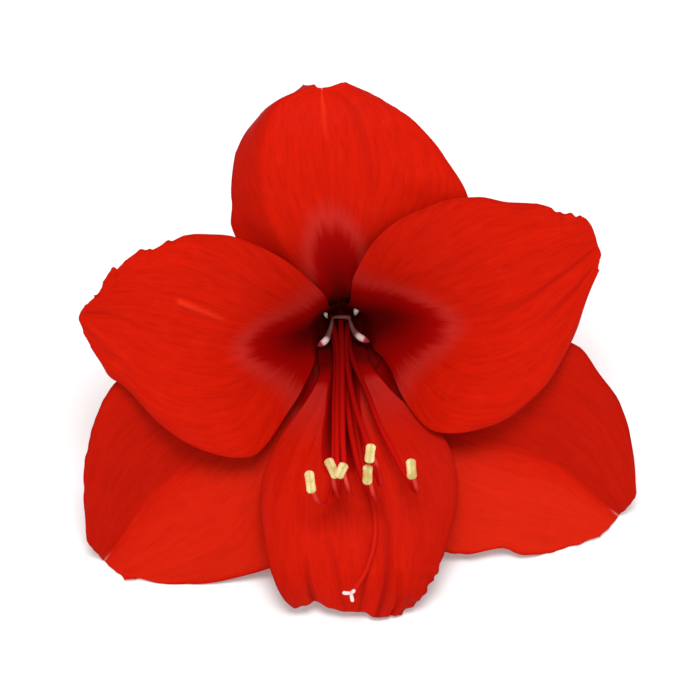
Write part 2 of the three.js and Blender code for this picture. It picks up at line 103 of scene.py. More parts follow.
def seen_at(x, y, z):
    """The point at depth z that the viewer sees at x, y."""
    nearer = 1 - z / VIEW_DISTANCE
    return np.array([VIEW_CENTRE[0] + (x - VIEW_CENTRE[0]) * nearer,
                     VIEW_CENTRE[1] + (y - VIEW_CENTRE[1]) * nearer, z])


def on_table(points):
    """Front view points in millimetres, as places on the table in metres."""
    x, y, z = np.asarray(points, float).T
    cosine, sine = math.cos(TIP_BACK), math.sin(TIP_BACK)
    return (np.column_stack([x, y * cosine - z * sine, y * sine + z * cosine]) + PLACE) / 1000


print("flower axis", np.round(AXIS, 3))

# %% [markdown]
# ## Smooth curves
# Every petal edge, filament and stalk follows a smooth curve through a few points. A Catmull-Rom
# curve is used, because it passes through each of its points.

# %% A curve through points
def spline(points, t, spaced=False):
    """Points at each t, 0 to 1, on the curve. Spaced curves stay calmer where points are uneven."""
    points = np.asarray(points, float)
    spans = len(points) - 1
    ends = np.vstack([2 * points[0] - points[1], points, 2 * points[-1] - points[-2]])
    place = np.clip(np.asarray(t, float), 0, 1) * spans
    i = np.minimum(place.astype(int), spans - 1)
    share = (place - i)[..., None]
    a, b, c, d = (ends[i + k] for k in range(4))
    if spaced:
        ab, bc, cd = (np.sqrt(np.linalg.norm(q - p, axis=-1, keepdims=True))
                      for p, q in ((a, b), (b, c), (c, d)))
        start = ((b - a) / ab - (c - a) / (ab + bc) + (c - b) / bc) * bc
        end = ((c - b) / bc - (d - b) / (bc + cd) + (d - c) / cd) * bc
    else:
        start, end = (c - a) / 2, (d - b) / 2
    return (b + start * share + (3 * (c - b) - 2 * start - end) * share ** 2
            + (2 * (b - c) + start + end) * share ** 3)


def smoothstep(low, high, x):
    """0 up to low, 1 from high on, and a soft rise between them."""
    share = np.clip((x - low) / (high - low), 0, 1)
    return share * share * (3 - 2 * share)


print("halfway along a bent line:", spline([(0, 0), (1, 1), (2, 0)], 0.5))

# %% [markdown]
# ## The petals' plan
# An amaryllis has six petals, botanically tepals: three outer ones behind and three inner ones in
# front. Each is set out by three rails, its two edges and its midrib. A rail point says where it is
# seen and how far it stands in front of the trumpet that all six form. Nearly all of the rails'
# numbers shaped the solid too, so the fine petals lie where the solid's do.

# %% Petal plan
# The trumpet opens at the mouth's radius and rises steeply at first, then less and less, towards
# its full depth. Beyond ROLL_FROM it bends back.
MOUTH, DEPTH, REACH = 9, 58, 24
ROLL_FROM, ROLL = 50, 0.004
SEAT_HEIGHT, SEAT_SPREAD, NECK_SPREAD = 0.5, 56, 50
OUTER = {"seat_radius": 10.6, "neck_radius": 13.4, "neck_height": 8.5}
INNER = {"seat_radius": 8.2, "neck_radius": 11, "neck_height": 9}

# A place on a petal is t, 0 at its root and 1 at its tip, and v, -1 at its clockwise margin, 0 on
# the midrib and 1 at the other margin. Lengths are in millimetres. Besides its rails, a petal has:
# phase: where its waves and wrinkles begin, so that no two petals are alike
# ruffle: height of the waves in its margins
# channel: depth and sharpness of the channel along its midrib
# curl: how far its end bends back
# roll: for each side, the v where the margin starts to bend back, and how far it does
# frill: the side that is frilled (-1 or 1), from which t, and how strongly
# margins: for each side, small steps outwards as (t, step)
# end: small steps of its end as (v, step)
# folds: ridges, or furrows where the height is negative, as (start, end, width, height)
# patch: the t that the dark patch reaches at each margin, the width in t of the pale haze round
#   it, and its lobes as (t reached, middle v, width, bluntness)
# darkens: how fast the patch deepens inwards
# shaded_and_lit_sides: painted shade, stretches that fade to a deeper red over the side of a petal
# that faces away from the light, as (v begun, v reached, t begun, t reached, share); a negative share
# paints the lit side a lighter red
# shade_and_highlight_strokes: painted shade in creases, streaks of deeper red, as (start, end, width,
# share), and painted highlights on ridges, lighter, where the share is negative
PETALS = {
    "tepal_top": {
        **OUTER, "seat": 90, "neck": 90, "phase": 1.0, "ruffle": 0.3, "channel": (1.0, 3), "curl": 0,
        "roll": ((0.75, 1.5), (0.67, 8.5)), "frill": (-1, 0.8, 0.3),
        "margins": ([(0.5, 1.2), (0.72, 1.4), (0.84, 0), (0.95, 1.4), (1, 0.3)],
                    [(0.4, 3.5), (0.5, 2.5), (0.57, 0.1), (0.7, -0.2), (0.84, -2.2), (0.95, 0.9),
                     (1, 0)]),
        "end": [(-1, 0), (-0.85, 0.6), (0.25, 0.7), (0.7, 2), (1, 0.2)], "folds": [],
        "patch": ((0.3, 0.3), 0.08, [(0.463, 0.07, 0.41, 2.6)]), "darkens": 1,
        "shaded_and_lit_sides": [(0.6, 0.7, 0.3, 0.45, 0.3)],
        "shade_and_highlight_strokes": [((1, 0.03), (0.72, 0.02), 0.9, -0.5), ((0.95, -0.35), (0.6, -0.3), 2, 0.3),
                    ((0.97, 0.6), (0.7, 0.66), 1.2, 0.4)],
        "clockwise": [(12.9, 11.2, 0), (31.8, 25.9, 0), (43.8, 40.9, 0), (34.6, 60.2, -2),
                      (21.7, 74.9, -4), (1.4, 84.7, -6)],
        "midrib": [(0, 14.3, 0), (-1, 31.1, 0), (-2.8, 49.3, 0), (-4.5, 65.5, 0),
                   (-5.6, 76.3, -2), (-6.6, 82.2, -6)],
        "anticlockwise": [(-11.2, 9.4, 0), (-29, 23.8, 0), (-37.8, 41.6, 0), (-39.2, 60.9, -2),
                          (-32.9, 77.3, -6), (-13.3, 84, -6)]},
    "tepal_lower_left": {
        **OUTER, "seat": 210, "neck": 214, "phase": 2.0, "ruffle": 0.4, "channel": (11, 1), "curl": 0,
        "roll": ((0.85, 1), (0.85, 0)), "frill": (-1, 0.5, 0.35),
        "margins": ([(0.7, 0), (0.83, -0.8), (0.9, 0), (0.97, 1.9), (1, 1.5)],
                    [(0.75, -0.3), (0.88, -0.2), (0.97, 1.1), (1, 1.2)]),
        "end": [(-1, 1.5), (-0.4, 0.7), (0, 1.4), (0.4, 0.4), (1, 1)], "folds": [],
        "patch": ((0.3, 0.4), 0.05, [(0.34, -0.2, 0.5, 2)]), "darkens": 1.4,
        "shaded_and_lit_sides": [(0.02, -0.05, 0.3, 0.5, 0.28), (0, 0.3, 0.3, 0.5, -0.15)],
        "shade_and_highlight_strokes": [],
        "clockwise": [(-15.7, -4.9, -4), (-37.1, -11.2, -3), (-61.6, -15, -2),
                      (-80.1, -21.7, -2), (-90.3, -45.8, -3), (-89.2, -73.8, -4)],
        "midrib": [(-10.1, -16.8, 0), (-24.8, -29.4, 0), (-39.5, -41.6, 0), (-55.3, -54.2, 0),
                   (-70.3, -67.9, -1), (-84, -85, -3)],
        "anticlockwise": [(-2.8, -23.8, 0.5), (-5.6, -42.3, 1.5), (-10.1, -63.3, 1),
                          (-20.3, -82.6, -3), (-47.6, -91, -4.8), (-74.5, -88.5, -3)]},
    "tepal_lower_right": {
        **OUTER, "seat": 330, "neck": 326, "phase": 0.4, "ruffle": 0.5, "channel": (11, 1), "curl": 0,
        "roll": ((0.85, 0), (0.85, 1)), "frill": (-1, 0.7, 0.6),
        "margins": ([(0.7, 1), (0.755, 0.2), (0.805, -3), (0.85, 0.2), (0.9, 1.4), (0.98, 0.9),
                     (1, -0.9)],
                    [(0.7, 0.5), (0.77, -1.2), (0.84, 0.1), (0.9, 0.3), (0.96, 1.4), (1, 0.6)]),
        "end": [(-1, -1.9), (-0.6, 0), (0, 1.9), (1, 1.9)], "folds": [],
        "patch": ((0.4, 0.3), 0.05, [(0.34, 0.2, 0.5, 2)]), "darkens": 1.4,
        "shaded_and_lit_sides": [(-0.02, 0.05, 0.3, 0.5, 0.26), (0, -0.3, 0.3, 0.5, -0.24)],
        "shade_and_highlight_strokes": [],
        "clockwise": [(3.8, -21.3, 0.5), (7.3, -40.6, 1.5), (15.4, -61.6, 0.5), (34.6, -78.8, -4),
                      (66.1, -80.1, -3.78), (91.7, -74.2, -2)],
        "midrib": [(10.8, -16.8, 0), (23.4, -30.1, 0), (39.9, -39.9, 0), (59.1, -46.9, 0),
                   (80.1, -55.3, -1), (98.3, -68.6, -2)],
        "anticlockwise": [(17.5, -5.6, -3), (39.9, -5.6, -2), (64.4, -5.2, -2), (85, -9.8, -2),
                          (99.8, -31.8, -3), (103.2, -58.1, -3)]},
    "tepal_upper_left": {
        **INNER, "seat": 150, "neck": 163, "phase": 0.7, "ruffle": 0.6, "channel": (1.8, 2), "curl": 1,
        "roll": ((0.85, 0), (0.85, 1)), "frill": (-1, 0.68, 1.3),
        "margins": ([(0.5, -0.8), (0.63, 0.1), (0.765, -1.4), (0.83, 0), (0.865, -1), (0.915, 1.9),
                     (0.96, 0.2), (1, -1)],
                    [(0.85, 0), (0.925, 2.7), (0.98, 0.3), (1, -0.6)]),
        "end": [(-1, -1.6), (-0.75, -3.6), (-0.5, 0.2), (0, 0.7), (0.5, -1), (0.85, -3.3), (1, -2.8)],
        "folds": [((0.67, -0.35), (0.54, -0.25), 0.7, 1.0), ((0.96, 0.33), (0.8, 0.63), 2.5, 1)],
        "patch": ((0.285, 0.38), 0.08, [(0.47, 0.06, 0.42, 1.8)]), "darkens": 1,
        "shaded_and_lit_sides": [],
        "shade_and_highlight_strokes": [((0.67, -0.35), (0.54, -0.25), 0.7, -0.7), ((0.97, -0.2), (0.8, 0), 1.2, 0.5)],
        "clockwise": [(-6.6, 11.9, 4), (-20.6, 23.8, 5), (-38.1, 30.8, 6), (-58.1, 30.8, 4),
                      (-76.6, 22, 2), (-87.1, 9.8, 0)],
        "midrib": [(-14.3, -4.2, 4), (-29, -7, 5), (-44.1, -7.7, 5), (-61.6, -4.5, 5),
                   (-78, 0.7, 3), (-91.7, 2.1, 0)],
        "anticlockwise": [(-10.1, -15.4, 4), (-17.8, -30.1, 5), (-31.1, -46.2, 7),
                          (-53.9, -42, 6), (-76.3, -22.4, 3), (-89.6, -7.3, 0)]},
    "tepal_upper_right": {
        **INNER, "seat": 30, "neck": 24, "phase": 1.7, "ruffle": 0.6, "channel": (1.8, 2), "curl": 1,
        "roll": ((0.85, 1), (0.85, 0)), "frill": (1, 0.78, 1.0),
        "margins": ([(0.2, -0.6), (0.34, -3), (0.46, -0.9), (0.85, -0.6), (0.93, -0.2), (1, 0.3)],
                    [(0.6, 1.2), (0.66, 1), (0.72, -0.4), (0.81, 0.3), (0.87, -0.9), (0.93, 0),
                     (1, 0)]),
        "end": [(-1, 1.5), (-0.65, -0.7), (-0.35, 1), (0.2, 0), (1, 0.4)], "folds": [],
        "patch": ((0.4, 0.26), 0.08, [(0.505, -0.04, 0.46, 1.7)]), "darkens": 1,
        "shaded_and_lit_sides": [],
        "shade_and_highlight_strokes": [((0.97, 0.05), (0.65, 0), 1, 0.6), ((0.95, -0.35), (0.8, -0.3), 1.4, 0.6)],
        "clockwise": [(12.6, -12.6, 4), (20.3, -25.9, 6.5), (33, -38.5, 9), (58.4, -33.9, 7),
                      (78.8, -11.9, 3), (89.9, 17.1, 0)],
        "midrib": [(15.4, 2.1, 4), (29.4, 0, 5), (45.1, 0.7, 5), (60.9, 5.6, 5),
                   (76.6, 15.4, 3), (90.6, 26.6, 0)],
        "anticlockwise": [(5.2, 16.8, 4), (15.4, 31.5, 5), (34.6, 41.6, 6), (56.7, 43.4, 4),
                          (75.2, 40.2, 2), (86.4, 36.8, 0)]},
    "tepal_bottom": {
        **INNER, "seat": 270, "neck": 270, "phase": 2.7, "ruffle": 0.4, "channel": (1.2, 3), "curl": 4,
        "roll": ((0.85, 1), (0.85, 1)), "frill": (1, 0.8, 1.2),
        "margins": ([(0.2, 0), (0.35, -1.5), (0.6, 0), (0.86, -0.4), (0.97, 1.1), (1, 0.9)],
                    [(0.4, 0), (0.5, 1.2), (0.65, 0.6), (0.78, 0), (0.84, 1), (0.92, 1.6),
                     (0.965, 3), (1, 1.7)]),
        "end": [(-1, 1.1), (-0.8, -1), (-0.55, -2.8), (-0.35, -0.6), (-0.1, 0.5), (0.3, 0.3), (0.5, 2),
                (1, 1.8)],
        "folds": [((0.99, 0.82), (0.82, 0.53), 1.2, -1.6), ((0.98, 0.6), (0.8, 0.4), 2.5, 0.9),
                  ((0.99, -0.6), (0.9, -0.5), 2, -1.2), ((0.66, 0.36), (0.86, 0.6), 0.8, 0.5)],
        # The patch's second, narrow lobe and its faster darkening are the filaments' painted shadow on
        # this petal.
        "patch": ((0.34, 0.34), 0.2, [(0.375, 0, 0.6, 2), (0.62, 0, 0.37, 3.6)]), "darkens": 1.9,
        "shaded_and_lit_sides": [(0.45, 0.9, 0.3, 0.45, 0.36), (-0.6, -0.95, 0.3, 0.45, 0.34)],
        "shade_and_highlight_strokes": [((1, 0.55), (0.72, 0.42), 1.6, 0.9), ((0.99, 0.2), (0.8, 0.28), 1.2, 0.7),
                    ((0.99, -0.6), (0.84, -0.5), 1.8, 0.9), ((0.97, -0.1), (0.8, -0.15), 1.5, 0.5)],
        "clockwise": [(-8, -18.2, 4), (-14.3, -29.4, 5), (-24.8, -47.6, 7), (-27.6, -66.8, 10),
                      (-24.5, -87.5, 13), (-16.4, -101.1, 13)],
        "midrib": [(0.7, -14.7, 4), (0.3, -30.1, 4), (0, -47.6, 5), (0.3, -65.8, 8),
                   (1.8, -84.7, 12), (3.1, -101.5, 14)],
        "anticlockwise": [(10.8, -15, 3), (19.9, -25.9, 4), (36, -41.6, 5), (40.2, -63.3, 9),
                          (32.5, -87.1, 13), (21.3, -102.5, 14)]},
}
print(len(PETALS), "petals planned")

# %% [markdown]
# ## The petal's surface
# Between its rails a petal is a plain curved sheet. Each rail starts on the tube, at the seat, and
# passes the neck of the throat. Then its points follow the trumpet. A place on the sheet is given
# by t and v alone, so any grid can be laid on it.

# %% The trumpet and its rails
SEARCH_FROM, SEARCH_STEPS, SEARCH_SHARE = 30, 200, 0.3


def trumpet_height(radius):
    """How far in front of the mouth the trumpet is, at a distance from the flower's axis."""
    rise = 1 - math.exp(-(radius - MOUTH) / REACH)
    return DEPTH * rise - ROLL * max(0, radius - ROLL_FROM) ** 2


def on_trumpet(x, y, lift):
    """The point seen at x, y that stands the lift in front of the trumpet, found step by step."""
    z = SEARCH_FROM
    for _ in range(SEARCH_STEPS):
        point = seen_at(x, y, z)
        height = point @ AXIS
        radius = np.linalg.norm(point - height * AXIS)
        z += SEARCH_SHARE * (trumpet_height(radius) + lift - height)
    return seen_at(x, y, z)


def rail_points(petal, name, side):
    seat = on_ring(SEAT_HEIGHT, petal["seat_radius"], petal["seat"] + side * SEAT_SPREAD)
    neck = on_ring(petal["neck_height"], petal["neck_radius"], petal["neck"] + side * NECK_SPREAD)
    return [seat, neck] + [on_trumpet(*point) for point in petal[name]]


def sheet(rails, t, v):
    """Points on the curved sheet through three rails, which lie at v of -1, 0 and 1."""
    first, middle, last = (spline(points, t) for points in rails)
    v = v[:, None]
    return first * (v * v - v) / 2 + middle * (1 - v * v) + last * (v * v + v) / 2


print("the trumpet is", round(trumpet_height(60)), "mm deep at a radius of 60 mm")

# %% [markdown]
# ## Small forms
# What makes a petal look alive comes on top of the sheet. Nothing on it is straight or even, so its
# small forms are soft bumps and noise. Noise that is stretched along the veins, which fan out from
# the midrib, gives their relief, and a soft bump along a line gives a fold.

# %% Small forms
PETAL_LENGTH, PETAL_HALF_WIDTH = 95, 34
RELIEF_ALONG = (0.25, 0.5)
# Broad ridges, veins and fine ribs: the height of each, how crowded it is across and along the
# veins, and its seed.
VEIN_WAVES = [(0.28, 4.5, 3, 7), (0.07, 17, 9, 3), (0.03, 40, 30, 11)]


def eased(points, x):
    """A soft line through the given (place, value) points."""
    places, values = np.array(points, float).T
    i = np.clip(np.searchsorted(places, x, side="right") - 1, 0, len(places) - 2)
    share = smoothstep(places[i], places[i + 1], x)
    return values[i] + (values[i + 1] - values[i]) * share


def by_side(v, left, right):
    """The left value where v is below 0, and the right one elsewhere."""
    return np.where(v < 0, left, right)


def fanned(t, v):
    """A number that stays the same along a vein. Veins leave the midrib and fan out to the margins."""
    return v / (0.3 + 0.7 * np.maximum(t, 0))


def wrinkle(across, along, seed, crowd, stretch=3):
    """Smooth uneven waves, between -1 and 1."""
    return np.array([noise.noise(Vector((a * crowd, b * stretch, seed)))
                     for a, b in zip(across, along)])


def vein_relief(petal, t, v):
    fan = fanned(t, v)
    waves = sum(height * wrinkle(fan, t, petal["phase"] * seed, crowd, stretch)
                for height, crowd, stretch, seed in VEIN_WAVES)
    return smoothstep(*RELIEF_ALONG, t) * waves


def fold_lift(t, v, start, end, width, height):
    """A ridge, or a furrow where the height is negative, along a line on the petal."""
    scale = np.array([PETAL_LENGTH, PETAL_HALF_WIDTH])
    point = np.column_stack([t, v]) * scale
    start, end = np.array(start) * scale, np.array(end) * scale
    line = end - start
    share = np.clip((point - start) @ line / (line @ line), 0, 1)
    distance = np.linalg.norm(point - start - share[:, None] * line, axis=1)
    return height * np.exp(-(distance / width) ** 2) * (1 - 0.7 * share ** 2)


print("relief up to", round(sum(wave[0] for wave in VEIN_WAVES), 2), "mm high")

# %% [markdown]
# ## The whole surface
# The large bends come first: the channel along the midrib, the rolled margins, the ruffles and the
# curled end. Folds, frills and veins are added to them. All of it lifts the sheet along its own
# normal. The small steps of margins and end, and part of the frills, move points within the sheet.

# %% The whole surface
RAIL_STEP = 0.004
CHANNEL_ALONG, CHANNEL_SOFT = (0.12, 0.4), 0.001
ROLL_ALONG, ROLL_SOFT = (0.3, 0.5), 0.02
RUFFLE_ALONG, RUFFLES, SIDE_OFFSET = (0.4, 0.65), 5, 1.9
CURL_FROM, TIP_FROM = 0.85, 0.9
FRILL_LENGTH, FRILL_LIFT = 0.05, 1.6


def bends(petal, t, v):
    """How far channel, rolled margins, ruffles and curled end lift the petal off its sheet."""
    edge, phase = np.abs(v), petal["phase"]
    depth, sharpness = petal["channel"]
    channel = (depth * np.maximum(1 - np.sqrt(edge ** 2 + CHANNEL_SOFT), 0) ** sharpness
               * smoothstep(*CHANNEL_ALONG, t) * (1 - 0.5 * smoothstep(CURL_FROM, 1, t)))
    start, depth = (by_side(v, left, right) for left, right in zip(*petal["roll"]))
    past = (edge - start) / (1 - start)
    roll = depth * (past + np.sqrt(past ** 2 + ROLL_SOFT)) / 2 * smoothstep(*ROLL_ALONG, t)
    turn = 2 * math.pi * RUFFLES * t + by_side(v, 0, SIDE_OFFSET)
    wave = np.sin(turn + phase) + 0.5 * np.sin(1.9 * turn + 2.3 * phase)
    ruffle = petal["ruffle"] * edge ** 3 * wave * smoothstep(*RUFFLE_ALONG, t)
    curl = petal["curl"] * np.maximum((t - CURL_FROM) / (1 - CURL_FROM), 0) ** 2
    return ruffle - channel - roll - curl


def petal_surface(petal, t, v):
    rails = [rail_points(petal, name, side)
             for name, side in (("clockwise", -1), ("midrib", 0), ("anticlockwise", 1))]
    below = np.clip(t, 0, 1 - RAIL_STEP)
    flat = sheet(rails, t, v)
    lengthwise = unit(sheet(rails, below + RAIL_STEP, v) - sheet(rails, below, v))
    sideways = unit(sheet(rails, t, v + RAIL_STEP) - sheet(rails, t, v - RAIL_STEP))
    inward = unit(np.cross(lengthwise, sideways))

    side, begins, size = petal["frill"]
    edge, level, phase = np.abs(v), np.zeros_like(t), petal["phase"]
    frilled = size * edge ** 6 * smoothstep(begins, begins + FRILL_LENGTH, t) * (v * side > 0)
    lift = bends(petal, t, v) + sum(fold_lift(t, v, *fold) for fold in petal["folds"])
    lift = lift + FRILL_LIFT * frilled * wrinkle(t, level, phase * 6, 45)
    lift = lift + vein_relief(petal, t, v)
    steps = by_side(v, *(eased(points, t) for points in petal["margins"]))
    out = steps * edge ** 4 + frilled * wrinkle(t, level, phase * 5, 55)
    tip = eased(petal["end"], v) * smoothstep(TIP_FROM, 1, t)
    return (flat + inward * lift[:, None] + sideways * (out * np.sign(v))[:, None]
            + lengthwise * tip[:, None])


middle = petal_surface(PETALS["tepal_top"], np.array([0.5]), np.array([0.0]))[0]
print("the middle of the top petal is at", np.round(middle, 1))

# %% [markdown]
# ## Where a petal's colours change
# The dark patch, the haze round it, the pale tip, and the painted shade and highlights in
# deeper and paler red belong to places on a petal.
# Each is worked out for every point and kept on the mesh as an attribute, which the finishes read
# later. This follows the petal better than a picture laid over it would.

# %% Colour masks
TIP_SHARE, TIP_LENGTH, TIP_WIDTH = 0.5, 0.012, 0.045
# The margins get painted shade: a thin band of deeper red along the edge of each petal.
MARGIN_FROM, MARGIN_ALONG, MARGIN_SHADE_SHARE = 0.955, (0.4, 0.6), 0.35


def patch_depth(petal, t, v):
    """How far inside the dark patch a point lies: inside its first lobe, and inside any lobe."""
    (first, last), _, lobes = petal["patch"]
    base = first + (last - first) * (v + 1) / 2
    reaches = [base + (reach - base) * np.exp(-np.abs((v - middle) / width) ** bluntness)
               for reach, middle, width, bluntness in lobes]
    return reaches[0] - t, (np.max(reaches, axis=0) - t) * petal["darkens"]


def pale_tip(petal, t, v):
    """Above 0 at the very tip of an outer petal, which ends in a small whitish point."""
    outer = petal["seat_radius"] == OUTER["seat_radius"]
    return TIP_SHARE * outer * np.exp(-((1 - t) / TIP_LENGTH) ** 2 - (v / TIP_WIDTH) ** 2)


def painted_shading_of(petal, t, v):
    """Above 0 where shade is painted as a deeper red, below 0 where a highlight is painted as a
    lighter red.
    """
    painted_shading = MARGIN_SHADE_SHARE * smoothstep(MARGIN_FROM, 1, np.abs(v)) * smoothstep(*MARGIN_ALONG, t)
    painted_shading = painted_shading + sum(fold_lift(t, v, *stroke) for stroke in petal["shade_and_highlight_strokes"])
    for v_from, v_to, t_from, t_to, share in petal["shaded_and_lit_sides"]:
        across = np.clip((v - v_from) / (v_to - v_from), 0, 1)
        painted_shading = painted_shading + share * across * smoothstep(t_from, t_to, t)
    return painted_shading


def petal_masks(petal, t, v):
    main, patch = patch_depth(petal, t, v)
    haze = smoothstep(-petal["patch"][1], 0, main)
    return {"across": v, "along": t, "fan": fanned(t, v), "patch": patch, "haze": haze,
            "tip": pale_tip(petal, t, v), "painted_shading": painted_shading_of(petal, t, v)}


masks = petal_masks(PETALS["tepal_top"], np.array([0.5]), np.array([0.0]))
print("masks there:", {name: round(float(values[0]), 2) for name, values in masks.items()})

# %% [markdown]
# ## Petals as meshes
# A petal starts as a flat grid. Each of its points is then moved to its place on the surface, with
# the points crowded towards the margins, where the frills are. Solidify gives it thickness, thinner
# at the margin than along the midrib, and a second material on the back. The root runs down into
# the tube, so no join shows.

# %% Make the petals
PETAL_ROWS, PETAL_COLUMNS, CROWDING = 170, 120, 0.6
ROOT_DEPTH, ROOT_SHARE = 1.5, 0.02
THICKNESS, EDGE_THICKNESS = 0.8, 0.45


def finish_mesh(name, bm):
    bm.normal_update()
    mesh = bpy.data.meshes.new(name)
    bm.to_mesh(mesh)
    bm.free()
    mesh.shade_smooth()
    piece = bpy.data.objects.new(name, mesh)
    bpy.context.scene.collection.objects.link(piece)
    return piece


def make_petal(name, petal):
    bm = bmesh.new()
    bmesh.ops.create_grid(bm, x_segments=PETAL_COLUMNS, y_segments=PETAL_ROWS, size=1)
    flat = np.array([vert.co for vert in bm.verts])
    v = np.sin(flat[:, 0] * math.pi / 2) * CROWDING + flat[:, 0] * (1 - CROWDING)
    t = (flat[:, 1] + 1) / 2 * (1 + ROOT_SHARE) - ROOT_SHARE
    points = petal_surface(petal, np.maximum(t, 0), v)
    points += AXIS * (np.minimum(t, 0) / ROOT_SHARE * ROOT_DEPTH)[:, None]
    places = on_table(points)
    places[:, 2] = np.maximum(places[:, 2], THICKNESS / 2000)
    masks = petal_masks(petal, t, v)
    layers = [bm.verts.layers.float.new(key) for key in masks]
    for vert, place, *values in zip(bm.verts, places, *masks.values()):
        vert.co = place
        for layer, value in zip(layers, values):
            vert[layer] = value
    bmesh.ops.reverse_faces(bm, faces=bm.faces)
    piece = finish_mesh(name, bm)
    thickness = piece.vertex_groups.new(name="thickness")
    for i, across in enumerate(v):
        share = EDGE_THICKNESS + (1 - EDGE_THICKNESS) * (1 - abs(across) ** 4)
        thickness.add([i], share, "REPLACE")
    shell = piece.modifiers.new("thickness", "SOLIDIFY")
    shell.thickness = THICKNESS / 1000
    shell.offset = 0
    shell.vertex_group = "thickness"
    shell.material_offset = 1
    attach(piece, "root")
    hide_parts("bloom")
    return piece


petals = {name: make_petal(name, petal) for name, petal in PETALS.items()}
for name, piece in petals.items():
    normal = piece.data.polygons[len(piece.data.polygons) // 2].normal
    print(name, len(piece.data.vertices), "points, faces", [round(x, 2) for x in normal])

# %% [markdown]
# ## Tube and throat
# Behind the petals they join in a short tube, green at the stalk and brownish red above. Its
# profile is drawn once, up the outside, over a thin lip that is sunk in the roots of the outer
# petals, and down the funnel of the throat. Spin carries the profile round the flower's axis. Six
# soft ribs run down it, one from each petal.

# %% Tube
TUBE_STEPS, OUTSIDE_POINTS, INSIDE_POINTS = 96, 30, 26
# Ribs grow in along the tube between these distances behind the mouth, and only beyond this radius.
RIB_HEIGHT, RIBS_ALONG, RIBS_BEYOND = 0.3, (-1, 3), 4
# Each point is a distance behind the mouth and a radius.
TUBE_OUTSIDE = [(13.8, 4.5), (12.6, 5.25), (10, 6), (6, 7.9), (2.5, 10.3), (0, 11.4), (-2.6, 11.6)]
THROAT_INSIDE = [(-2.6, 11.3), (-1.4, 10.8), (-0.2, 8.6), (0.6, 7.3), (4.6, 4.6), (6, 2), (6.2, 0.4)]


def make_tube():
    outside = spline(TUBE_OUTSIDE, np.linspace(0, 1, OUTSIDE_POINTS))
    inside = spline(THROAT_INSIDE, np.linspace(0, 1, INSIDE_POINTS))
    profile = np.vstack([outside, inside])
    bm = bmesh.new()
    behind = bm.verts.layers.float.new("along")
    verts = []
    for back, radius in profile:
        vert = bm.verts.new(on_ring(-back, radius, 0))
        vert[behind] = back
        verts.append(vert)
    edges = [bm.edges.new(pair) for pair in zip(verts, verts[1:])]
    bmesh.ops.spin(bm, geom=verts + edges, cent=(0, 0, 0), axis=AXIS, angle=2 * math.pi,
                   steps=TUBE_STEPS, use_merge=True)
    bmesh.ops.remove_doubles(bm, verts=bm.verts, dist=0.001)
    bmesh.ops.holes_fill(bm, edges=bm.edges, sides=0)
    for vert in bm.verts:
        point = np.array(vert.co)
        height = point @ AXIS
        spoke = point - height * AXIS
        angle = math.atan2(spoke @ UPWARD, spoke @ ACROSS)
        if np.linalg.norm(spoke) > RIBS_BEYOND:
            rib = RIB_HEIGHT * (math.cos(6 * angle + math.pi) - 1)
            vert.co = Vector(point + unit(spoke) * rib * smoothstep(*RIBS_ALONG, -height))
    bmesh.ops.recalc_face_normals(bm, faces=bm.faces)
    places = on_table([vert.co for vert in bm.verts])
    for vert, place in zip(bm.verts, places):
        vert.co = place
    piece = finish_mesh("perianth_tube", bm)
    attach(piece, "root")
    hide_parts("bloom")
    return piece


tube = make_tube()
print("tube", len(tube.data.vertices), "points")

# %% [markdown]
# ## Rods that follow a path
# Stalk, filaments, anthers, style, stigma and throat scales are all round stems of some kind. One
# helper makes them: it takes a cylinder, cuts it into rings and puts each ring on the path. The
# radius may change along the rod and around it, which gives ribs, furrows and pollen.

# %% Rod helper
def path_frames(path, t, spaced):
    """Centres of a rod's rings, and the two directions across each, without sudden twists."""
    centres = spline(path, t, spaced)
    tangents = unit(np.gradient(centres, t, axis=0))
    normal = ACROSS
    normals = []
    for tangent in tangents:
        normal = unit(normal - tangent * (normal @ tangent))
        normals.append(normal)
    normals = np.array(normals)
    return centres, normals, np.cross(tangents, normals)


def make_rod(name, path, rings, sides, radius_at, node, spaced=True):
    bm = bmesh.new()
    bmesh.ops.create_cone(bm, cap_ends=True, segments=sides, radius1=1, radius2=1, depth=2)
    lengthwise = [e for e in bm.edges if abs(e.verts[0].co.z - e.verts[1].co.z) > 1]
    bmesh.ops.subdivide_edges(bm, edges=lengthwise, cuts=rings - 2)
    plain = np.array([vert.co for vert in bm.verts])
    t = (plain[:, 2] + 1) / 2
    ring = np.rint(t * (rings - 1)).astype(int)
    angle = np.arctan2(plain[:, 1], plain[:, 0])
    centres, normals, binormals = path_frames(path, np.linspace(0, 1, rings), spaced)
    radius = radius_at(t, angle)[:, None]
    points = centres[ring] + radius * (np.cos(angle)[:, None] * normals[ring]
                                       + np.sin(angle)[:, None] * binormals[ring])
    along, around = (bm.verts.layers.float.new(key) for key in ("along", "around"))
    for vert, place, share, turn in zip(bm.verts, on_table(points), t, angle):
        vert.co = place
        vert[along], vert[around] = share, turn
    bmesh.ops.recalc_face_normals(bm, faces=bm.faces)
    piece = finish_mesh(name, bm)
    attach(piece, "root")
    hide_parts(node)
    return piece


def blunt(t, rounded, floor=0.05):
    """1 along a rod, falling off roundly within the given share of each end."""
    from_end = np.minimum(np.minimum(t, 1 - t), rounded) / rounded
    return floor + (1 - floor) * np.sqrt(1 - (1 - from_end) ** 2)


print("a rod's end starts at", blunt(0, 1), "of its radius")

# %% [markdown]
# ## Ovary and stalk
# Below the tube sits the three-lobed ovary, where seeds would form, and then the smooth stalk, cut
# short. Both are one rod whose radius swells over the ovary. The cut end lies on the table.

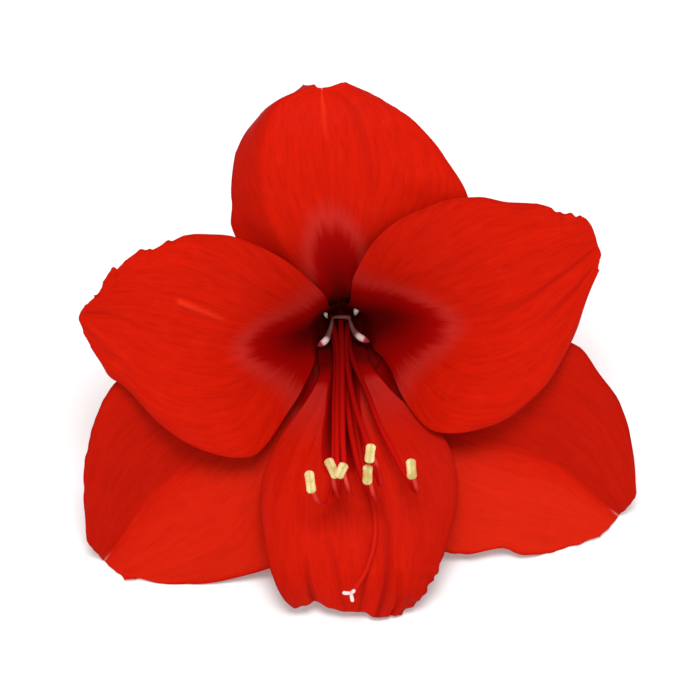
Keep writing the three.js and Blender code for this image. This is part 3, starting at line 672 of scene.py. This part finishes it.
# %% Ovary and stalk
STALK_PROFILE = [(13.3, 5), (15, 6.1), (19, 6.9), (24, 6.4), (28, 5.1), (32, 4.6), (40, 4.6),
                 (47, 4.8), (52.8, 5.2)]
STALK_BEND, STALK_SINK = 3, 0.8
OVARY_LOBE = 0.7
RIDGES, RIDGE_HEIGHT, RIDGE_TWIST = 17, 0.05, 3
CUT_BEVEL = 0.25


def make_stalk():
    first, last = STALK_PROFILE[0][0], STALK_PROFILE[-1][0]
    path = [on_ring(-back, 0, 0) + ACROSS * STALK_BEND * ((back - first) / (last - first)) ** 2
            for back, _ in STALK_PROFILE]
    path[0] = path[0] + AXIS * STALK_SINK
    widths = [(radius, 0) for _, radius in STALK_PROFILE]

    def radius_at(t, angle):
        lobes = OVARY_LOBE * smoothstep(0, 0.15, t) * (1 - smoothstep(0.3, 0.5, t))
        ridges = RIDGE_HEIGHT * np.cos(RIDGES * angle + RIDGE_TWIST * t)
        bevel = CUT_BEVEL * smoothstep(0.985, 1, t)
        return spline(widths, t)[:, 0] + lobes * np.cos(3 * angle) + ridges - bevel

    return make_rod("ovary_and_stalk_fine", path, rings=120, sides=72, radius_at=radius_at,
                    node="ovary_and_stalk", spaced=False)


stalk = make_stalk()
print("stalk", len(stalk.data.vertices), "points")

# %% [markdown]
# ## Stamens
# Six filaments leave the throat, lean down over the bottom petal and curl up at their tips. Each
# holds its anther by the middle of its back. The anthers have opened, so they are short rods with a
# furrow along the front and a crust of pollen grains.

# %% Filaments and anthers
FILAMENT_RING, FILAMENT_ROOT = 4, 5.8
FILAMENT_RADIUS, FILAMENT_TIP = 1, 0.55
ANTHER_RADIUS, ANTHER_BOW, SEAT_SHARE = 1.6, 0.5, 0.8
FURROW_DEPTH, FURROW_WIDTH, WAIST = 0.34, 0.16, 0.08
GRAIN_HEIGHT, GRAINS_AROUND, GRAINS_ALONG = 0.16, 3.2, 14
# Each stamen has its root's angle in the throat, its path, and the two ends of its anther. The last
# point of a path says from which side the filament meets the anther.
STAMENS = [
    (210, [(-1.8, -9.8, 10), (-2.2, -26.6, 26), (-2.4, -44.1, 38), (-2.9, -56, 45.5),
           (-4.9, -63.2, 50), (-8.4, -61.6, 54.5), (-10.3, -57.6, 57.4)],
     (-10.2, -59.2, 59.5), (-11.3, -51.2, 60.5)),
    (150, [(-1, -9.8, 14), (-1.2, -26.6, 28.5), (-1.3, -44, 40.3), (-1, -55, 46.5),
           (-0.8, -60, 51), (-2.1, -57, 56), (-2.6, -52.6, 59.4)],
     (-1.4, -53.8, 61.5), (-4.8, -47, 62.5)),
    (90, [(0.3, -9.8, 17), (0.4, -26.6, 31), (0.8, -44, 42), (1.9, -55, 48.5),
          (3.4, -59.8, 53.5), (2.4, -57, 59), (0.6, -53, 62.9)],
     (-1.1, -53.8, 65), (1.4, -48.6, 66)),
    (30, [(1.7, -9.8, 14), (4.4, -26.6, 31), (8.6, -40, 42), (12.2, -52, 50), (14, -56.2, 55),
          (13.2, -51.6, 59.5), (12.2, -48.6, 62.4), (10.3, -47.2, 64)],
     (9.8, -48.6, 66), (10.6, -41.8, 67)),
    (270, [(0.7, -9.8, 8), (2.1, -26.6, 24), (3.9, -40, 33.5), (7.4, -53.5, 42.5),
           (12.2, -61.8, 50), (11.2, -59.2, 55.5), (9.5, -54.4, 59.4)],
     (9.2, -56.2, 61.4), (9.4, -49.1, 62.4)),
    (330, [(3.2, -9.8, 9), (8.8, -23.5, 23), (13.5, -35.5, 32), (19.4, -47, 40), (24.3, -56, 46.5),
           (26.9, -59, 51.5), (26.1, -56.4, 55.5), (24.9, -52.8, 58.4)],
     (24.9, -54.3, 60.5), (24.4, -47, 61.5)),
]


def anther_radius(seed):
    def radius_at(t, angle):
        furrow = FURROW_DEPTH * np.exp(-(np.sin(angle) + 1) / FURROW_WIDTH)
        waist = WAIST * np.cos(2 * math.pi * t)
        places = np.column_stack([GRAINS_AROUND * np.cos(angle), GRAINS_AROUND * np.sin(angle),
                                  GRAINS_ALONG * t + seed])
        pollen = GRAIN_HEIGHT * np.array([noise.noise(place) for place in places])
        return (ANTHER_RADIUS - furrow + waist + pollen) * blunt(t, 0.2, 0.02)

    return radius_at


def make_stamen(number, angle, path, low, high):
    low, high = np.array(low), np.array(high)
    middle = (low + high) / 2 + (0, 0, ANTHER_BOW)
    low, middle, high = (seen_at(*point) for point in (low, middle, high))
    anther = make_rod(f"anther_{number}_fine", [low, middle, high], rings=46, sides=36,
                      radius_at=anther_radius(number), node=f"anther_{number}")
    along = unit(high - low)
    behind = seen_at(*path[-1]) - middle
    behind = unit(behind - along * (behind @ along))
    seat = middle + behind * ANTHER_RADIUS * SEAT_SHARE
    line = [on_ring(-FILAMENT_ROOT, FILAMENT_RING, angle)]
    line += [seen_at(*point) for point in path[:-1]] + [seat]

    def radius_at(t, angle):
        return FILAMENT_RADIUS - (FILAMENT_RADIUS - FILAMENT_TIP) * t ** 3

    filament = make_rod(f"filament_{number}", line, rings=90, sides=18, radius_at=radius_at,
                        node="bloom")
    return filament, anther


stamens = [make_stamen(i + 1, *stamen) for i, stamen in enumerate(STAMENS)]
filaments, anthers = zip(*stamens)
print(len(filaments), "filaments,", len(anthers), "anthers")

# %% [markdown]
# ## Style and stigma
# The style lies low over the bottom petal, as red as the petal is, so it is easily missed. Near
# the petal's end it rises and parts into three short white lobes, the stigma, which catch pollen.
# The lobes fan out evenly, so they are placed by one rule at three turns around the tip.

# %% Style and stigma
STYLE_RADIUS, STYLE_ROOT = 0.8, 7
STYLE_PATH = [(2.4, -9.8, 6), (3.7, -26.6, 21.5), (5.6, -39, 28.5), (8.75, -54.6, 34.5),
              (11.6, -65, 37), (11.7, -76, 38.8), (8.6, -86.5, 39.8), (5.2, -92, 42.3),
              (3.7, -94, 45.6)]
STIGMA_SPREAD, STIGMA_REACH, STIGMA_RADIUS = math.radians(60), 3.2, 0.7
STIGMA_ROOT, STIGMA_BEND = 0.5, 0.4


def lobe_radius(t, angle):
    return STIGMA_RADIUS * (0.75 + 0.25 * t) * blunt(t, 0.3)


style_line = [on_ring(-STYLE_ROOT, 0, 0)] + [seen_at(*point) for point in STYLE_PATH]
style = make_rod("style", style_line, rings=72, sides=16, node="bloom",
                 radius_at=lambda t, angle: np.full_like(t, STYLE_RADIUS))
style_tip = style_line[-1]
forward = unit(style_tip - spline(style_line, np.array([0.99]), True)[0])
sideways = unit(np.cross((0, 0, 1), forward))
stigma = []
for number, degrees in enumerate((90, 210, 330), 1):
    turn = math.radians(degrees)
    outward = sideways * math.cos(turn) + np.cross(forward, sideways) * math.sin(turn)
    direction = forward * math.cos(STIGMA_SPREAD) + outward * math.sin(STIGMA_SPREAD)
    root = style_tip - direction * STIGMA_ROOT
    tip = style_tip + direction * STIGMA_REACH
    curl = (root + tip) / 2 + forward * STIGMA_BEND
    stigma.append(make_rod(f"stigma_lobe_{number}", [root, curl, tip], rings=26, sides=18,
                           node="bloom", radius_at=lobe_radius))
print("style and", len(stigma), "stigma lobes")

# %% [markdown]
# ## Scales in the throat
# A small brown collar stands in the throat around the bases of the filaments. Two large scales
# hang from its ends and a small one stands on each side of it, and they catch the light against the
# dark red. Each is a short rod along its own path, widest past its middle and round at both ends.

# %% Throat scales
# Each has its widest radius and its path.
SCALES = {
    "throat_collar": (0.75, [(-3, 1.4, 3.5), (-2.6, 2.3, 4.5), (0, 2.5, 5), (2.6, 2.3, 4.5),
                             (3, 1.4, 3.5)]),
    "throat_scale_1": (1.0, [(4.9, 3.2, 1), (5.2, 4.3, 3.5), (5.6, 5.8, 5.5)]),
    "throat_scale_2": (0.7, [(-4.8, 2, 1), (-5.2, 3, 3), (-5.6, 4, 4.5)]),
    "throat_scale_3": (1.2, [(-2.9, 1.8, 4), (-4.1, -3, 5.5), (-5.4, -5.7, 7), (-8.2, -7.8, 8)]),
    "throat_scale_4": (1.2, [(2.9, 1.8, 4), (4.3, -2, 5.5), (6.4, -4.4, 7), (10, -6.3, 8)]),
}


def scale_radius(widest):
    return lambda t, angle: widest * (0.5 + 0.5 * np.sin(math.pi * t ** 2)) * blunt(t, 0.15)


scales = [make_rod(name, [seen_at(*point) for point in path], rings=30, sides=16,
                   node="bloom", radius_at=scale_radius(widest))
          for name, (widest, path) in SCALES.items()]
print(len(scales) - 1, "throat scales and their collar")

# %% [markdown]
# ## Helpers for finishes
# A finish is a small graph of shader nodes, and each node takes several lines of Python. These
# helpers keep the graphs short to read: most of them make one node, plug its inputs in and give
# back its output.

# %% Node helpers
def wire(tree, value, socket):
    """Plugs a socket in, or sets a plain value."""
    if isinstance(value, bpy.types.NodeSocket):
        tree.links.new(value, socket)
    else:
        socket.default_value = value


def maths(tree, operation, a, b=0.0):
    node = tree.nodes.new("ShaderNodeMath")
    node.operation = operation
    wire(tree, a, node.inputs[0])
    wire(tree, b, node.inputs[1])
    return node.outputs[0]


def ramp_between(tree, value, low, high):
    """0 below low, 1 above high."""
    node = tree.nodes.new("ShaderNodeMapRange")
    node.interpolation_type = "SMOOTHSTEP"
    wire(tree, value, node.inputs["Value"])
    node.inputs["From Min"].default_value = low
    node.inputs["From Max"].default_value = high
    return node.outputs["Result"]


def mix_colours(tree, share, a, b):
    node = tree.nodes.new("ShaderNodeMix")
    node.data_type = "RGBA"
    wire(tree, share, node.inputs[0])
    for colour, socket in ((a, node.inputs[6]), (b, node.inputs[7])):
        wire(tree, colour if isinstance(colour, bpy.types.NodeSocket) else (*colour, 1), socket)
    return node.outputs[2]


def attribute(tree, name):
    node = tree.nodes.new("ShaderNodeAttribute")
    node.attribute_name = name
    return node.outputs["Fac"]


def new_group(name, inputs, outputs):
    tree = bpy.data.node_groups.new(name, "ShaderNodeTree")
    for key, value in inputs.items():
        kind = "NodeSocketVector" if isinstance(value, tuple) else "NodeSocketFloat"
        tree.interface.new_socket(name=key, in_out="INPUT", socket_type=kind).default_value = value
    for key in outputs:
        tree.interface.new_socket(name=key, in_out="OUTPUT", socket_type="NodeSocketFloat")
    return tree, tree.nodes.new("NodeGroupInput"), tree.nodes.new("NodeGroupOutput")


def noise_at(tree, vector, scale, detail, roughness):
    node = tree.nodes.new("ShaderNodeTexNoise")
    node.inputs["Scale"].default_value = scale
    node.inputs["Detail"].default_value = detail
    node.inputs["Roughness"].default_value = roughness
    tree.links.new(vector, node.inputs["Vector"])
    return node.outputs["Fac"]


print("helpers: wire, maths, ramp_between, mix_colours, attribute, new_group and noise_at")

# %% [markdown]
# ## Shared effects
# Two effects are shared by several finishes, so each is a node group that is built once. The first
# draws streaks that run along a petal, as its veins do: noise stretched lengthwise does this
# better than stripes, because real veins fork and fade. The second is the fine grain of plant
# cells, which breaks up every flat colour.

# %% Node groups
def build_streaks():
    tree, given, result = new_group("lengthwise streaks",
                                    {"Across": 0.0, "Along": 0.0, "Count": 20.0},
                                    ("Broad", "Fine"))
    for output, crowd, stretch in (("Broad", 0.5, 3.0), ("Fine", 1.3, 11.0)):
        place = tree.nodes.new("ShaderNodeCombineXYZ")
        count = maths(tree, "MULTIPLY", given.outputs["Count"], crowd)
        wire(tree, maths(tree, "MULTIPLY", given.outputs["Across"], count), place.inputs[0])
        wire(tree, maths(tree, "MULTIPLY", given.outputs["Along"], stretch), place.inputs[1])
        streak = noise_at(tree, place.outputs[0], 1.0, detail=3.0, roughness=0.6)
        wire(tree, streak, result.inputs[output])
    return tree


def build_grain():
    tree, given, result = new_group("plant cell grain", {"Vector": (0.0, 0.0, 0.0)},
                                    ("Cells", "Mottle"))
    for output, scale, detail, roughness in (("Cells", 1400.0, 2.0, 0.5),
                                             ("Mottle", 160.0, 3.0, 0.6)):
        speckle = noise_at(tree, given.outputs["Vector"], scale, detail, roughness)
        wire(tree, speckle, result.inputs[output])
    return tree


STREAKS = build_streaks()
GRAIN = build_grain()
print("groups:", STREAKS.name, "and", GRAIN.name)

# %% [markdown]
# ## The start and end of every finish
# Every finish starts with the Principled shader. Roughness, gloss and sheen are the same all over a
# surface, so they are plain values on the shader itself. Each of the bloom's finishes ends with its
# colour and a fine bump plugged in.

# %% Start and end of a finish
def new_finish(name, roughness, specular=0.5, sheen=0.0, sheen_tint=(1, 1, 1)):
    material = bpy.data.materials.new(name)
    material.use_nodes = True
    tree = material.node_tree
    shader = tree.nodes["Principled BSDF"]
    shader.inputs["Roughness"].default_value = roughness
    shader.inputs["Specular IOR Level"].default_value = specular
    shader.inputs["Sheen Weight"].default_value = sheen
    shader.inputs["Sheen Tint"].default_value = (*sheen_tint, 1)
    return material, tree, shader


def place_group(tree, group, **values):
    node = tree.nodes.new("ShaderNodeGroup")
    node.node_tree = group
    for key, value in values.items():
        wire(tree, value, node.inputs[key])
    return node.outputs


def object_grain(tree):
    coordinates = tree.nodes.new("ShaderNodeTexCoord")
    return place_group(tree, GRAIN, Vector=coordinates.outputs["Object"])


def plug_in(tree, shader, colour, height, depth, strength):
    """Plugs a colour into the shader, and a bump whose depth is in metres."""
    wire(tree, colour, shader.inputs["Base Color"])
    bump = tree.nodes.new("ShaderNodeBump")
    bump.inputs["Strength"].default_value = strength
    bump.inputs["Distance"].default_value = depth
    wire(tree, height, bump.inputs["Height"])
    wire(tree, bump.outputs["Normal"], shader.inputs["Normal"])


def finish_all(pieces, material):
    for piece in pieces:
        piece.data.materials.append(material)
    print(material.name, "on", [piece.name for piece in pieces])


print("ready: new_finish, place_group, object_grain, plug_in and finish_all")

# %% [markdown]
# ## The red of the petals
# The face of a petal is a saturated red with faint streaks. Towards the throat it turns maroon in a
# patch that follows the midrib, with a feathered edge, because the dark colour runs further along
# some veins than others. On the bottom petal a narrow lobe of the patch runs on under the filaments
# as their painted shadow. Around the patch lies a soft greyish pink haze. Creases, margins and the
# side of some petals that faces away from the light get painted shade, a deeper red, and a few
# ridges and lit sides get painted highlights, a paler red. The back is a little duller, and
# brownish near the tube.

# %% Petal finishes
RED = (0.54, 0.0080, 0.0009)
RED_STREAK = (0.46, 0.0058, 0.0008)
RED_LIGHT = (0.58, 0.0120, 0.0022)
# The deeper red below also serves as painted shade, and the pale red as painted highlights.
RED_DEEP_AND_SHADE = (0.28, 0.0036, 0.001)
RED_PAINTED_HIGHLIGHT = (0.78, 0.035, 0.010)
HAZE = (0.47, 0.023, 0.018)
MAROON = (0.35, 0.0012, 0.0005)
MAROON_DEEP = (0.12, 0.001, 0.0006)
TIP_PALE = (0.85, 0.5, 0.4)
BACK_STREAK, BACK_RED = (0.42, 0.006, 0.003), (0.68, 0.018, 0.007)
BACK_RIB, BACK_FOOT = (0.40, 0.05, 0.02), (0.34, 0.16, 0.045)


def streaked_red(tree, streaks, grain, painted_shading):
    """Red with faint streaks and mottles, with painted shade in deeper red where the painted shading
    is above 0, and painted highlights in paler red below 0.
    """
    red = mix_colours(tree, ramp_between(tree, streaks["Fine"], 0.25, 0.60), RED_STREAK, RED)
    light = ramp_between(tree, grain["Mottle"], 0.50, 0.80)
    red = mix_colours(tree, maths(tree, "MULTIPLY", light, 0.6), red, RED_LIGHT)
    broad_darker = mix_colours(tree, 0.16, red, RED_DEEP_AND_SHADE)
    red = mix_colours(tree, ramp_between(tree, streaks["Broad"], 0.35, 0.7), broad_darker, red)
    # Painted shade and highlights: deeper red where the attribute is above 0, paler red below it.
    red = mix_colours(tree, maths(tree, "MAXIMUM", painted_shading, 0.0), red, RED_DEEP_AND_SHADE)
    painted_highlight = maths(tree, "MAXIMUM", maths(tree, "MULTIPLY", painted_shading, -1.0), 0.0)
    return mix_colours(tree, painted_highlight, red, RED_PAINTED_HIGHLIGHT)


def petal_face():
    material, tree, shader = new_finish("red petal face", 0.6, specular=0.025)
    fan, along, patch, haze, tip, painted_shading = (attribute(tree, key) for key in
                                          ("fan", "along", "patch", "haze", "tip", "painted_shading"))
    streaks = place_group(tree, STREAKS, Across=fan, Along=along, Count=18.0)
    grain = object_grain(tree)
    red = streaked_red(tree, streaks, grain, painted_shading)
    uneven = maths(tree, "ADD", maths(tree, "MULTIPLY", streaks["Fine"], 0.7), 0.3)
    red = mix_colours(tree, maths(tree, "MULTIPLY", haze, uneven), red, HAZE)
    feather = maths(tree, "MULTIPLY", maths(tree, "SUBTRACT", streaks["Broad"], 0.5), 0.09)
    edge = maths(tree, "ADD", patch, feather)
    dark = mix_colours(tree, ramp_between(tree, patch, 0.0, 0.24), MAROON, MAROON_DEEP)
    red = mix_colours(tree, ramp_between(tree, edge, -0.02, 0.045), red, dark)
    red = mix_colours(tree, tip, red, TIP_PALE)
    height = maths(tree, "ADD", streaks["Fine"], maths(tree, "MULTIPLY", grain["Cells"], 0.4))
    plug_in(tree, shader, red, height, 0.00015, 0.3)
    return material


def petal_back():
    material, tree, shader = new_finish("red petal back", 0.55, specular=0.1)
    across, along = attribute(tree, "across"), attribute(tree, "along")
    streaks = place_group(tree, STREAKS, Across=across, Along=along, Count=26.0)
    grain = object_grain(tree)
    red = mix_colours(tree, streaks["Fine"], BACK_STREAK, BACK_RED)
    rib = maths(tree, "SUBTRACT", 1.0, ramp_between(tree, maths(tree, "ABSOLUTE", across), 0.0, 0.1))
    red = mix_colours(tree, maths(tree, "MULTIPLY", rib, 0.35), red, BACK_RIB)
    foot = maths(tree, "SUBTRACT", 1.0, ramp_between(tree, along, 0.02, 0.24))
    red = mix_colours(tree, maths(tree, "MULTIPLY", foot, 0.6), red, BACK_FOOT)
    height = maths(tree, "ADD", streaks["Fine"], maths(tree, "MULTIPLY", grain["Cells"], 0.3))
    plug_in(tree, shader, red, height, 0.0004, 0.7)
    return material


finish_all(petals.values(), petal_face())
finish_all(petals.values(), petal_back())

# %% [markdown]
# ## Tube and stalk
# Tube and stalk are waxy plant skin: green, with a brownish red blush where the tube meets the
# petals. The stalk has faint lengthwise streaks and a paler cut end. The throat's lining gets its
# own dark finish, on the faces of the tube that look forwards and lie near the mouth.

# %% Tube and stalk finishes
TUBE_GREEN, TUBE_MOTTLE = (0.20, 0.30, 0.07), (0.34, 0.42, 0.13)
BLUSH, BLUSH_MOTTLE = (0.38, 0.080, 0.022), (0.47, 0.115, 0.034)
LINING, LINING_MOTTLE = (0.05, 0.0018, 0.001), (0.12, 0.003, 0.0014)
STALK_GREEN, STALK_STREAK = (0.13, 0.24, 0.045), (0.27, 0.40, 0.10)
STALK_MOTTLE, STALK_CUT = (0.33, 0.44, 0.16), (0.55, 0.58, 0.30)
LINING_FACES, LINING_DEPTH = 0.15, 6.5


def tube_finish():
    material, tree, shader = new_finish("tube skin", 0.53, specular=0.15)
    grain = object_grain(tree)
    green = mix_colours(tree, grain["Mottle"], TUBE_GREEN, TUBE_MOTTLE)
    blush = mix_colours(tree, grain["Mottle"], BLUSH, BLUSH_MOTTLE)
    skin = mix_colours(tree, ramp_between(tree, attribute(tree, "along"), 0.5, 10.0), blush, green)
    plug_in(tree, shader, skin, grain["Cells"], 0.0001, 0.5)
    return material


def throat_finish():
    material, tree, shader = new_finish("throat lining", 0.6, specular=0.06)
    grain = object_grain(tree)
    colour = mix_colours(tree, grain["Mottle"], LINING, LINING_MOTTLE)
    plug_in(tree, shader, colour, grain["Cells"], 0.0001, 0.5)
    return material


def stalk_finish():
    material, tree, shader = new_finish("green stalk skin", 0.42, specular=0.4)
    along, around = attribute(tree, "along"), attribute(tree, "around")
    streaks = place_group(tree, STREAKS, Across=around, Along=along, Count=14.0)
    grain = object_grain(tree)
    skin = mix_colours(tree, streaks["Fine"], STALK_GREEN, STALK_STREAK)
    skin = mix_colours(tree, maths(tree, "MULTIPLY", grain["Mottle"], 0.4), skin, STALK_MOTTLE)
    skin = mix_colours(tree, ramp_between(tree, along, 0.992, 0.999), skin, STALK_CUT)
    height = maths(tree, "ADD", streaks["Fine"], grain["Cells"])
    plug_in(tree, shader, skin, height, 0.0002, 0.4)
    return material


finish_all([tube], tube_finish())
finish_all([tube], throat_finish())
finish_all([stalk], stalk_finish())
forwards = Vector(on_table([AXIS])[0] - on_table([(0, 0, 0)])[0]).normalized()
for polygon in tube.data.polygons:
    backs = [tube.data.attributes["along"].data[i].value for i in polygon.vertices]
    lining = polygon.normal @ forwards > LINING_FACES and max(backs) < LINING_DEPTH
    polygon.material_index = int(lining)

# %% [markdown]
# ## Stamens and style
# The filaments are smooth and dark red, and paler at their tips. The style is nearly the petals'
# red. Pollen is powdery and pale yellow, with a little sheen, and duller in the furrow.

# %% Stamen and style finishes
FILAMENT_FOOT, FILAMENT_MOTTLE = (0.20, 0.001, 0.001), (0.30, 0.002, 0.001)
FILAMENT_RED, FILAMENT_PALE = (0.50, 0.004, 0.002), (0.78, 0.08, 0.055)
STYLE_RED, STYLE_PALE = (0.55, 0.0085, 0.002), (0.58, 0.02, 0.01)
POLLEN, POLLEN_DARK = (0.84, 0.67, 0.32), (0.55, 0.36, 0.11)
POLLEN_FURROW, POLLEN_SHEEN = (0.42, 0.38, 0.13), (1, 0.95, 0.8)


def filament_finish(name, upper, tip):
    material, tree, shader = new_finish(name, 0.6, specular=0.04)
    along = attribute(tree, "along")
    grain = object_grain(tree)
    red = mix_colours(tree, ramp_between(tree, along, 0.1, 0.5), FILAMENT_FOOT, upper)
    red = mix_colours(tree, ramp_between(tree, along, 0.80, 0.97), red, tip)
    red = mix_colours(tree, maths(tree, "MULTIPLY", grain["Mottle"], 0.3), red, FILAMENT_MOTTLE)
    plug_in(tree, shader, red, grain["Cells"], 0.0001, 0.3)
    return material


def anther_finish():
    material, tree, shader = new_finish("pollen", 0.9, specular=0.1, sheen=0.2,
                                        sheen_tint=POLLEN_SHEEN)
    grain = object_grain(tree)
    pollen = mix_colours(tree, ramp_between(tree, grain["Mottle"], 0.35, 0.65), POLLEN_DARK, POLLEN)
    front = maths(tree, "ADD", maths(tree, "SINE", attribute(tree, "around")), 1.0)
    furrow = maths(tree, "SUBTRACT", 1.0, ramp_between(tree, front, 0.0, 0.14))
    pollen = mix_colours(tree, maths(tree, "MULTIPLY", furrow, 0.6), pollen, POLLEN_FURROW)
    plug_in(tree, shader, pollen, grain["Cells"], 0.0004, 0.9)
    return material


finish_all(filaments, filament_finish("filament red", FILAMENT_RED, FILAMENT_PALE))
finish_all([style], filament_finish("style red", STYLE_RED, STYLE_PALE))
finish_all(anthers, anther_finish())

# %% [markdown]
# ## Stigma and scales
# Stigma and scales are whitish flesh with a faint mottle. Each starts in another colour at its
# foot, and may end in a third: the large scales go from the collar's brown through pale pink to a
# crimson tip. The collar is brown all over and uses the same helper.

# %% Pale finishes
COLLAR_BROWN, CRIMSON = (0.16, 0.05, 0.04), (0.35, 0.004, 0.012)
STIGMA_FOOT, STIGMA_PINK, STIGMA_TIP = (0.60, 0.10, 0.08), (0.90, 0.68, 0.66), (0.90, 0.70, 0.68)
SCALE_WHITE, SCALE_PINK = (0.95, 0.93, 0.90), (0.85, 0.60, 0.58)


def pale_finish(name, foot, colour, tip, pale_from, pale_to):
    """The foot's colour at the base, the pale one between two places along, then the tip's."""
    material, tree, shader = new_finish(name, 0.6, specular=0.3, sheen=0.1)
    grain = object_grain(tree)
    along = attribute(tree, "along")
    darker = [0.9 * part for part in colour]
    mottled = mix_colours(tree, ramp_between(tree, grain["Mottle"], 0.4, 0.7), colour, darker)
    mixed = mix_colours(tree, ramp_between(tree, along, pale_from, pale_from + 0.2), foot, mottled)
    mixed = mix_colours(tree, ramp_between(tree, along, pale_to, pale_to + 0.1), mixed, tip)
    plug_in(tree, shader, mixed, grain["Cells"], 0.0002, 0.5)
    return material


collar, small_1, small_2, large_1, large_2 = scales
finish_all(stigma, pale_finish("stigma white", STIGMA_FOOT, STIGMA_PINK, STIGMA_TIP, 0.0, 0.95))
finish_all([collar], pale_finish("collar brown", COLLAR_BROWN, COLLAR_BROWN, COLLAR_BROWN, 0.0, 1.0))
finish_all([small_1, small_2],
           pale_finish("small scale white", CRIMSON, SCALE_WHITE, SCALE_WHITE, 0.1, 1.0))
finish_all([large_1, large_2],
           pale_finish("large scale white", COLLAR_BROWN, SCALE_PINK, CRIMSON, 0.5, 0.78))

# %% [markdown]
# ## Table and light
# The table is plain and nearly white, as in a catalogue picture. The room is bright on all sides.
# One large soft light hangs overhead, a little to the front, and a weaker one fills in from the
# camera's side, so the petals keep soft shading in their channels.

# %% Stage
TABLE_REACH, TABLE_GREY, ROOM_LIGHT = 4, 0.92, 0.7


def soft_light(name, place, size, watts):
    lamp = bpy.data.lights.new(name, "AREA")
    lamp.shape = "DISK"
    lamp.size = size
    lamp.energy = watts
    light = bpy.data.objects.new(name, lamp)
    bpy.context.scene.collection.objects.link(light)
    light.location = place
    light.rotation_euler = (AIM - Vector(place)).to_track_quat("-Z", "Y").to_euler()


def make_table():
    bm = bmesh.new()
    bmesh.ops.create_grid(bm, x_segments=2, y_segments=2, size=TABLE_REACH)
    table = finish_mesh("table", bm)
    material, _, shader = new_finish("pale table", 0.8)
    shader.inputs["Base Color"].default_value = (TABLE_GREY, TABLE_GREY, TABLE_GREY, 1)
    table.data.materials.append(material)


make_table()
soft_light("overhead", place=(0, -0.22, 1.25), size=0.5, watts=10)
soft_light("front fill", place=(0.2, -1.0, 1.1), size=0.8, watts=2)
world = bpy.data.worlds.new("studio")
world.use_nodes = True
background = world.node_tree.nodes["Background"]
background.inputs["Color"].default_value = (1, 1, 1, 1)
background.inputs["Strength"].default_value = ROOM_LIGHT
bpy.context.scene.world = world
bpy.context.scene.view_settings.view_transform = "Standard"
print("table, two lamps and a room light of", ROOM_LIGHT)
